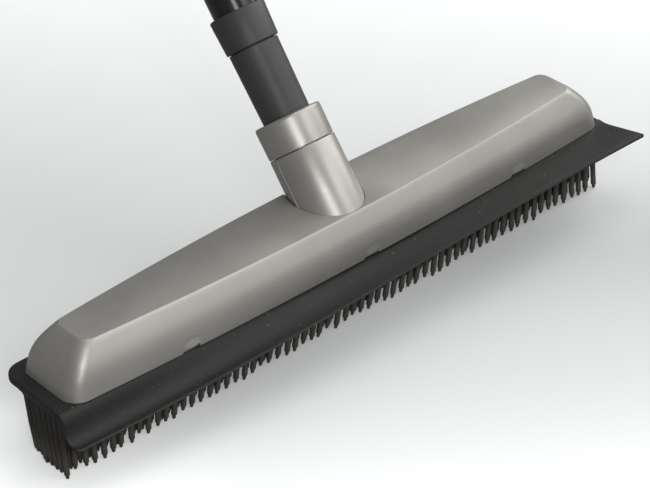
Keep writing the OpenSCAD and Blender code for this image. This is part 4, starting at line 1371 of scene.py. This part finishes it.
class BROOM_OT_stage(bpy.types.Operator):
    """Set up the floor, the lights and the camera"""
    bl_idname = "broom.stage"
    bl_label = "Stage"

    def execute(self, context):
        stage = context.scene.broom_stage
        turn = (Matrix.Rotation(CAMERA_AZIMUTH, 3, "Z")
                @ Matrix.Rotation(math.pi / 2 - CAMERA_ELEVATION, 3, "X")
                @ Matrix.Rotation(CAMERA_ROLL, 3, "Z"))
        camera = bpy.data.objects.new("camera", bpy.data.cameras.new("camera"))
        camera.data.lens = stage.lens
        camera.data.sensor_width = 36
        camera.data.clip_start = 0.05
        camera.data.clip_end = 60
        camera.matrix_world = Matrix.Translation(CAMERA_PLACE) @ turn.to_4x4()
        context.scene.collection.objects.link(camera)
        context.scene.camera = camera
        forward = turn @ Vector((0, 0, -1))
        forward.z = 0
        self.make_floor(context, stage, forward.normalized(), turn @ Vector((1, 0, 0)))
        for name, place, size, power in LAMPS:
            self.add_light(context, name, place, size, power * stage.level)
        world = bpy.data.worlds.new("sky")
        world.use_nodes = True
        back = world.node_tree.nodes["Background"]
        back.inputs["Color"].default_value = (0.96, 0.98, 1.0, 1.0)
        back.inputs["Strength"].default_value = stage.sky
        context.scene.world = world
        context.scene.view_settings.view_transform = "Standard"
        return {"FINISHED"}

    def make_floor(self, context, stage, forward, right):
        """A square floor just under the strands' tips."""
        deselect_all()
        bpy.ops.mesh.primitive_plane_add(size=stage.floor_size, location=(0, 0, -0.2 * MM))
        floor = context.object
        floor.name = "floor"
        bpy.ops.object.transform_apply(location=True)
        floor.data.materials.append(floor_material(stage, forward, right))

    def add_light(self, context, name, place, size, power):
        """A square area lamp that aims at the origin."""
        light = bpy.data.lights.new(name, "AREA")
        light.energy = power
        light.size = size
        obj = bpy.data.objects.new(name, light)
        way = -Vector(place)
        obj.matrix_world = Matrix.Translation(place) @ way.to_track_quat("-Z", "Y").to_matrix().to_4x4()
        context.scene.collection.objects.link(obj)


class BROOM_PT_panel(bpy.types.Panel):
    """Buttons and settings for the broom's pieces"""
    bl_idname = "BROOM_PT_panel"
    bl_label = "Rubber broom"
    bl_space_type = "VIEW_3D"
    bl_region_type = "UI"
    bl_category = "Broom"

    def draw(self, context):
        for kind in OPERATORS:
            self.layout.operator(kind.bl_idname)
        for setting, _ in SETTINGS:
            group = getattr(context.scene, setting)
            box = self.layout.box()
            for name in group.__annotations__:
                box.prop(group, name)


OPERATORS = (
    BROOM_OT_stage,
    BROOM_OT_housing,
    BROOM_OT_socket,
    BROOM_OT_socket_collar,
    BROOM_OT_ferrule,
    BROOM_OT_tubes,
    BROOM_OT_twist_lock,
    BROOM_OT_grip,
    BROOM_OT_rubber_lip,
    BROOM_OT_blade,
    BROOM_OT_strands,
    BROOM_OT_inner_parts,
)
SETTINGS = (
    ("broom_head", HeadSettings),
    ("broom_rubber", RubberSettings),
    ("broom_handle", HandleSettings),
    ("broom_stage", StageSettings),
)


def register():
    for name, kind in SETTINGS:
        bpy.utils.register_class(kind)
        setattr(bpy.types.Scene, name, PointerProperty(type=kind))
    for kind in OPERATORS:
        bpy.utils.register_class(kind)
    bpy.utils.register_class(BROOM_PT_panel)


def unregister():
    bpy.utils.unregister_class(BROOM_PT_panel)
    for kind in reversed(OPERATORS):
        bpy.utils.unregister_class(kind)
    for name, kind in reversed(SETTINGS):
        delattr(bpy.types.Scene, name)
        bpy.utils.unregister_class(kind)


def main():
    register()
    for kind in OPERATORS:
        family, action = kind.bl_idname.split(".")
        getattr(getattr(bpy.ops, family), action)()


if __name__ == "__main__":
    main()
